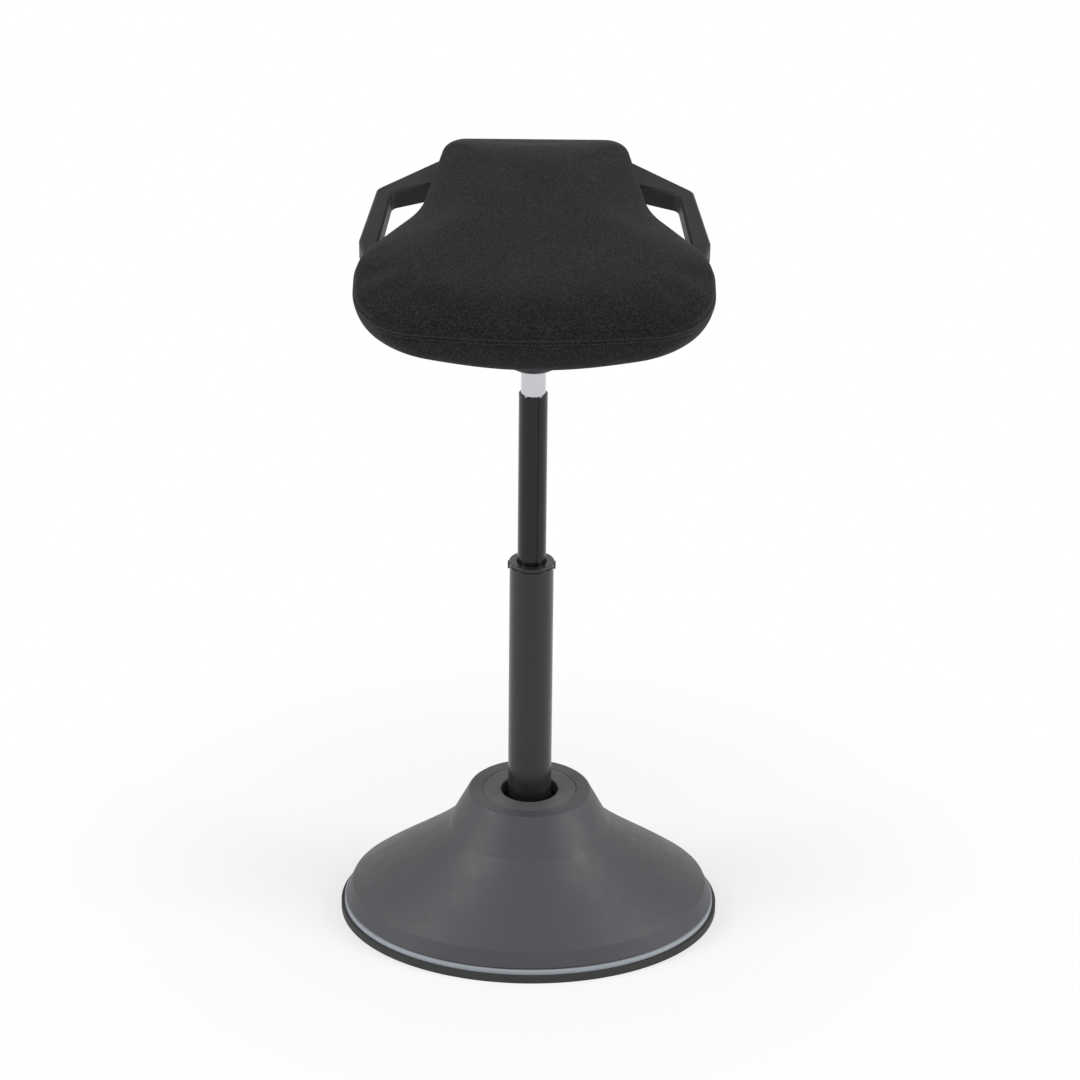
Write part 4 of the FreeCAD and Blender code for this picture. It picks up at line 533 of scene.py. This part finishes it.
def dress_nodes():
    grain = grained_plastic
    looks = {
        "foot_mat": rubber("rubber_mat", 0.035),
        "base_plate": painted("plate_coat", 0.05, 0.55),
        # Painted highlight: the trim ring's pale blue-grey stands for the light caught on the glossy upper edge
        # of the base's ring.
        "trim_ring": grain("trim_painted_highlight", 0.40, 0.45, 0.0005, 0.00002, spread=0.05, tint=(0.92, 1.0, 1.08)),
        "dome_cover": grain("dome_plastic", 0.050, 0.50, 0.0011, 0.00012, spread=0.16, tint=(1, 0.98, 1.1)),
        "neck_insert": grain("insert_plastic", 0.075, 0.55, 0.0008, 0.00006),
        "socket_housing": turned_metal("cast_housing", (0.42, 0.42, 0.43), 0.45, 0.002),
        "ball_liner": grain("liner_plastic", 0.62, 0.35, 0.001, 0.00002, tint=(1, 0.98, 0.9)),
        "retainer_ring": turned_metal("retainer_metal", (0.55, 0.55, 0.56), 0.3),
        "elastomer_ring": rubber("elastomer", 0.022),
        "housing_bolts": plated_screw("zinc_bolts", (0.58, 0.57, 0.52), 0.35),
        "retainer_screws": plated_screw("zinc_screws", (0.58, 0.57, 0.52), 0.35),
        "cover_screws": plated_screw("zinc_cover_screws", (0.55, 0.55, 0.52), 0.35),
        "ball_foot": turned_metal("ground_ball", (0.60, 0.60, 0.61), 0.2),
        "outer_tube": painted("tube_satin", 0.012, 0.26, orange=0.00001),
        "rod_plate": turned_metal("rod_plate_metal", (0.5, 0.5, 0.5), 0.35),
        "thrust_washer": turned_metal("washer_metal", (0.55, 0.55, 0.55), 0.3),
        "rod_clip": plated_screw("spring_steel", (0.25, 0.25, 0.27), 0.35),
        "bump_stop": rubber("bump_rubber", 0.03),
        "piston_rod": turned_metal("rod_metal", (0.62, 0.62, 0.64), 0.12),
        "piston": turned_metal("piston_metal", (0.55, 0.55, 0.56), 0.3),
        "guide_collar": painted("collar_plastic", 0.014, 0.30, orange=0.00001),
        "gas_cylinder": chrome("chrome_cylinder"),
        "rod_guide": grain("rod_guide_plastic", 0.10, 0.5, 0.0008, 0.00002),
        "valve_pin": turned_metal("valve_metal", (0.6, 0.6, 0.62), 0.25),
        "cylinder_sleeve": painted("sleeve_gloss", 0.004, 0.16, coat=0.1, orange=0.000006, specular=0.3),
        "lower_guide": grain("lower_guide_plastic", 0.10, 0.5, 0.0008, 0.00002),
        "taper_hub": painted("hub_coat", 0.018, 0.5),
        "release_lever": painted("lever_coat", 0.015, 0.4),
        "lever_grip": grain("grip_plastic", 0.022, 0.5, 0.0007, 0.00006),
        "lever_pin": plated_screw("pin_metal", (0.5, 0.5, 0.5), 0.35),
        "mechanism_cover": grain("cover_plastic", 0.022, 0.5, 0.0008, 0.00006, tint=(1.0, 0.98, 1.08)),
        "pod_screws": plated_screw("black_cover_screws", (0.06, 0.06, 0.06), 0.4),
        "seat_board": plywood("plywood"),
        "t_nuts": plated_screw("zinc_nuts", (0.55, 0.55, 0.5), 0.35),
        "seat_bolts": plated_screw("black_bolts", (0.06, 0.06, 0.06), 0.4),
        "handle_screws": plated_screw("black_screws", (0.06, 0.06, 0.06), 0.4),
        "right_handle": grain("handle_plastic", 0.016, 0.55, 0.0009, 0.00008, specular=0.3),
    }
    looks["left_handle"] = looks["right_handle"]
    for name, made in looks.items():
        dress(NODES[name], made)


def dress(obj, material):
    if not obj.material_slots:
        obj.data.materials.append(material)
    for place in obj.material_slots:
        place.material = material


# Places in the seat frame


def seat_point(u, v, s):
    """From the seat frame to the row frame."""
    c, d = math.cos(SEAT_TILT), math.sin(SEAT_TILT)
    return Vector((u, v * c - s * d, SEAT_LEVEL + v * d + s * c))


def seat_coordinates(points):
    """From the row frame to the seat frame, for an array of points."""
    c, d = math.cos(SEAT_TILT), math.sin(SEAT_TILT)
    z = points[:, 2] - SEAT_LEVEL
    return np.column_stack([points[:, 0], points[:, 1] * c + z * d, -points[:, 1] * d + z * c])


def outline_corners(inset, ease=0.0, front_ease=0.0):
    """Corners and rounding of the seat outline drawn in by an inset, as in the model."""

    def moved(corner):
        return tuple(place + shift * inset for place, shift in zip(*corner))

    right = [
        (*moved(LOBE_FRONT), LOBE_FRONT_ROUND - inset + ease + front_ease),
        (*moved(LOBE_BACK), LOBE_BACK_ROUND - inset + ease - front_ease / 2),
        (*moved(WAIST), WAIST_ROUND + inset),
        (*moved(END), END_ROUND - inset / 4 + ease),
    ]
    left = [(-x, y, r) for x, y, r in reversed(right)]
    return [(*moved(FRONT), FRONT_ROUND - inset)] + right + left


def lengths_along(path):
    """Length from the start of a path to each of its points."""
    return np.concatenate([[0], np.cumsum(np.linalg.norm(np.diff(path, axis=0), axis=1))])


def outline_points(corners, count):
    """Evenly spread points along the rounded outline, starting at the front middle."""
    path = []
    for i, (x, y, radius) in enumerate(corners):
        here = np.array((x, y))
        before = np.array(corners[i - 1][:2]) - here
        after = np.array(corners[(i + 1) % len(corners)][:2]) - here
        before /= np.linalg.norm(before)
        after /= np.linalg.norm(after)
        half = math.acos(np.clip(before @ after, -1, 1)) / 2
        reach = radius / math.tan(half)
        middle = before + after
        centre = here + middle / np.linalg.norm(middle) * radius / math.sin(half)
        first = here + before * reach - centre
        last = here + after * reach - centre
        start = math.atan2(first[1], first[0])
        turn = (math.atan2(last[1], last[0]) - start + math.pi) % (2 * math.pi) - math.pi
        steps = max(ARC_FEWEST, int(abs(turn) * radius / ARC_STEP))
        for k in range(steps + 1):
            angle = start + turn * k / steps
            path.append(centre + radius * np.array((math.cos(angle), math.sin(angle))))
    path = np.array(path)
    front = int(np.argmin(np.abs(path[:, 0]) + (path[:, 1] > 0)))
    path = np.roll(path, -front, axis=0)
    path = np.vstack([path, path[:1]])
    length = lengths_along(path)
    at = np.linspace(0, length[-1], count, endpoint=False)
    return np.stack([np.interp(at, length, path[:, 0]), np.interp(at, length, path[:, 1])], axis=1)


# Cushion


def smooth_step(x, low, high):
    t = np.clip((x - low) / (high - low), 0, 1)
    return t * t * (3 - 2 * t)


def crown_height(distance):
    """Rise above the seam at a distance in from the edge."""
    t = np.clip(distance / CROWN_RUN, 0, 1)
    return CROWN * (1 - (1 - t) ** 2) ** CROWN_SHAPE


def point_tree(points):
    tree = KDTree(len(points))
    for index, point in enumerate(points):
        tree.insert(point, index)
    tree.balance()
    return tree


def edge_distance(points, edge):
    tree = point_tree([(u, v, 0) for u, v in edge])
    return np.array([tree.find((u, v, 0))[2] for u, v in points])


def cushion_rings(count):
    """Rings of the cushion, from the crown's spine to the board's pocket, and the number of the seam's ring."""
    edge = outline_points(outline_corners(0.0), count)
    fine_edge = outline_points(outline_corners(0.0), 3000)
    spine = np.column_stack([np.zeros(count), np.interp(edge[:, 1], SPINE_EDGE, SPINE)])
    rings = []
    for share in CROWN_RINGS:
        flat = edge + (spine - edge) * share
        rings.append(np.column_stack([flat, SEAM + crown_height(edge_distance(flat, fine_edge))]))
    rings.append(np.column_stack([edge, np.full(count, SEAM)]))
    seam = len(rings) - 1
    front = 1 - smooth_step(edge[:, 1], *LIP_FADE)
    bow = edge[:, 0] ** 2 / (2 * LIP_BOW)
    deep = EDGE_DEPTH + (LIP - bow - EDGE_DEPTH) * front
    for part, tuck in LIP_RINGS:
        flat = outline_points(outline_corners(LIP_TUCK * tuck, 0, LIP_ROUND * tuck), count)
        rings.append(np.column_stack([flat, SEAM - (SEAM + deep) * part]))
    board = outline_points(outline_corners(POCKET_INSET, POCKET_EASE), count)
    lip_in = rings[-1][:, :2] * 0.35 + board * 0.65
    for flat, share in ((lip_in, 0.98), (board, 0.86), (board, 0.4)):
        rings.append(np.column_stack([flat, -deep * share]))
    for share in (0, 0.3, 0.6, 0.9):
        rings.append(np.column_stack([board + (spine - board) * share, np.full(count, POCKET_LEVEL)]))
    return rings, seam


def ring_mesh(name, rings):
    """Closed mesh from rings. The first and the last ring are closed straight across the seat."""
    count = len(rings[0])
    verts = [seat_point(*p) for ring in rings for p in ring]
    faces = []
    for r in range(len(rings) - 1):
        a, b = r * count, (r + 1) * count
        for k in range(count):
            n = (k + 1) % count
            faces.append((a + k, b + k, b + n, a + n))
    last = (len(rings) - 1) * count
    for k in range(count // 2):
        corners = [k, k + 1, count - k - 1, (count - k) % count]
        across = list(dict.fromkeys(corners))
        if len(across) > 2:
            faces.append(tuple(across))
            faces.append(tuple(last + c for c in reversed(across)))
    mesh = bpy.data.meshes.new(name)
    mesh.from_pydata(verts, [], faces)
    mesh.update()
    return add_object(name, mesh)


def mesh_values(mesh, name):
    """The places, co, or the directions, normal, of a mesh's points."""
    values = np.empty(len(mesh.vertices) * 3)
    mesh.vertices.foreach_get(name, values)
    return values.reshape(-1, 3)


def move_points(mesh, points):
    mesh.vertices.foreach_set("co", points.ravel())
    mesh.update()


def smooth_faces(mesh):
    for polygon in mesh.polygons:
        polygon.use_smooth = True


def run_cloth(obj, held):
    """Runs cloth under pressure and without gravity, and returns how far it moves each point."""
    cloth = obj.modifiers.new("cloth", "CLOTH")
    cloth.settings.use_pressure = True
    cloth.settings.uniform_pressure_force = 4
    cloth.settings.effector_weights.gravity = 0
    cloth.settings.vertex_group_mass = held
    cloth.settings.pin_stiffness = 1.0
    cloth.settings.quality = 6
    cloth.settings.tension_stiffness = 20
    cloth.settings.compression_stiffness = 20
    cloth.settings.bending_stiffness = 1.0
    cloth.point_cache.frame_start = 1
    cloth.point_cache.frame_end = SWELL_FRAMES
    scene = bpy.context.scene
    for step in range(1, SWELL_FRAMES + 1):
        scene.frame_set(step)
    after = obj.evaluated_get(bpy.context.evaluated_depsgraph_get()).to_mesh()
    shift = mesh_values(after, "co") - mesh_values(obj.data, "co")
    scene.frame_set(1)
    return shift


def swell(obj):
    """Cloth under pressure on a remeshed copy. Its movement is handed on to the fine mesh, with a cap."""
    copy = obj.copy()
    copy.data = obj.data.copy()
    copy.name = "swelling"
    bpy.context.collection.objects.link(copy)
    move_points(copy.data, mesh_values(copy.data, "co") - mesh_values(copy.data, "normal") * SWELL_START)
    bpy.ops.object.select_all(action="DESELECT")
    copy.select_set(True)
    bpy.context.view_layer.objects.active = copy
    remesh = copy.modifiers.new("remesh", "REMESH")
    remesh.mode = "VOXEL"
    remesh.voxel_size = SWELL_VOXEL
    bpy.ops.object.modifier_apply(modifier="remesh")
    before = mesh_values(copy.data, "co")
    held = copy.vertex_groups.new(name="held")
    for index, (_, v, s) in enumerate(seat_coordinates(before)):
        under = s < HELD_LEVEL and v > HELD_BEHIND
        held.add([index], 1.0 if under else 0.0, "REPLACE")
    shift = run_cloth(copy, "held")
    tree = point_tree(before)
    fine = mesh_values(obj.data, "co")
    moves = np.zeros((len(fine), 3))
    for index, p in enumerate(fine):
        total, weight = np.zeros(3), 0.0
        for _, near, distance in tree.find_range(Vector(p), SWELL_REACH):
            w = math.exp(-((distance / SWELL_BLUR) ** 2))
            total += w * shift[near]
            weight += w
        length = np.linalg.norm(total) / weight if weight else 0.0
        if length > SWELL_START:
            past_start = SWELL_CAP * math.tanh((length - SWELL_START) / SWELL_CAP)
            moves[index] = total / weight / length * past_start
    bpy.data.objects.remove(copy, do_unlink=True)
    return moves


def make_cushion():
    count = 320
    rings, seam = cushion_rings(count)
    cushion = ring_mesh("cushion_cover", rings)
    points = mesh_values(cushion.data, "co")
    normals = mesh_values(cushion.data, "normal")
    moves = swell(cushion)
    level = seat_coordinates(points)[:, 2]
    off_seam = np.clip(np.abs(level - SEAM) / SEAM_HOLD, 0, 1)
    above_board = (level > BOARD_HOLD).astype(float)
    points = points + moves * (off_seam * above_board)[:, None]
    groove = np.zeros((len(rings), count))
    for step, share in GROOVE:
        groove[seam + step] = share * SEAM_DEPTH
    move_points(cushion.data, points - normals * groove.ravel()[:, None])
    fine = cushion.modifiers.new("fine", "SUBSURF")
    fine.levels = 1
    fine.render_levels = 1
    smooth_faces(cushion.data)
    dress(cushion, knit("knit_cover"))
    return cushion


def stitch_rows(cushion):
    """Two rows of topstitching below the perimeter seam, each stitch a small thread on the cover."""
    tree = BVHTree.FromObject(cushion, bpy.context.evaluated_depsgraph_get())
    edge = outline_points(outline_corners(0.0), 2000)
    closed = np.vstack([edge, edge[:1]])
    length = lengths_along(closed)
    # A little outside the edge, so that the cover's outer side is the nearest one.
    outside = 1.004
    made = bmesh.new()
    random.seed(5)
    for drop in STITCH_DROPS:
        at = 0.0
        while at + STITCH < length[-1]:
            ends = []
            for where in (at, at + STITCH / 2, at + STITCH):
                ends.append([np.interp(where, length, closed[:, side]) for side in (0, 1)])
            at += STITCH + STITCH_GAP + random.uniform(-STITCH_SCATTER, STITCH_SCATTER)
            if ends[1][1] > STITCH_END:
                continue
            points = []
            for (u, v), high in zip(ends, (0.0, 1.0, 0.0)):
                near = seat_point(u * outside, v * outside, SEAM - drop)
                place, normal = tree.find_nearest(near)[:2]
                if place is None:
                    break
                points.append((place + normal * (THREAD_CLEAR + THREAD_RADIUS * high), normal))
            if len(points) == 3:
                add_stitch(made, points)
    mesh = bpy.data.meshes.new("seam_stitches")
    made.to_mesh(mesh)
    made.free()
    stitches = add_object("seam_stitches", mesh)
    smooth_faces(mesh)
    dress(stitches, thread("sewing_thread"))
    return stitches


def add_stitch(made, points):
    """A short thread through three points, thin at both ends."""
    a, b, c = (place for place, _ in points)
    along = (c - a).normalized()
    out = points[1][1].normalized()
    side = along.cross(out).normalized()
    rings = []
    for k in range(THREAD_STEPS):
        t = k / (THREAD_STEPS - 1)
        place = a * (1 - t) ** 2 + (2 * b - (a + c) / 2) * 2 * t * (1 - t) + c * t * t
        thick = THREAD_RADIUS * (0.45 + 0.55 * math.sin(math.pi * min(max(t, 0.08), 0.92)))
        ring = []
        for n in range(THREAD_SIDES):
            w = n * 2 * math.pi / THREAD_SIDES
            ring.append(made.verts.new(place + (side * math.cos(w) + out * math.sin(w)) * thick))
        rings.append(ring)
    for first, second in zip(rings, rings[1:]):
        for k in range(THREAD_SIDES):
            n = (k + 1) % THREAD_SIDES
            made.faces.new((first[k], first[n], second[n], second[k]))
    made.faces.new(rings[0][::-1])
    made.faces.new(rings[-1])


def main():
    bpy.context.scene.view_settings.view_transform = "Standard"
    make_camera()
    make_world()
    make_floor()
    for lamp in LAMPS:
        area_lamp(*lamp)
    dress_nodes()
    cushion = make_cushion()
    stitches = stitch_rows(cushion)
    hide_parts("cushion")
    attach(cushion, "upper")
    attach(stitches, "upper")


main()
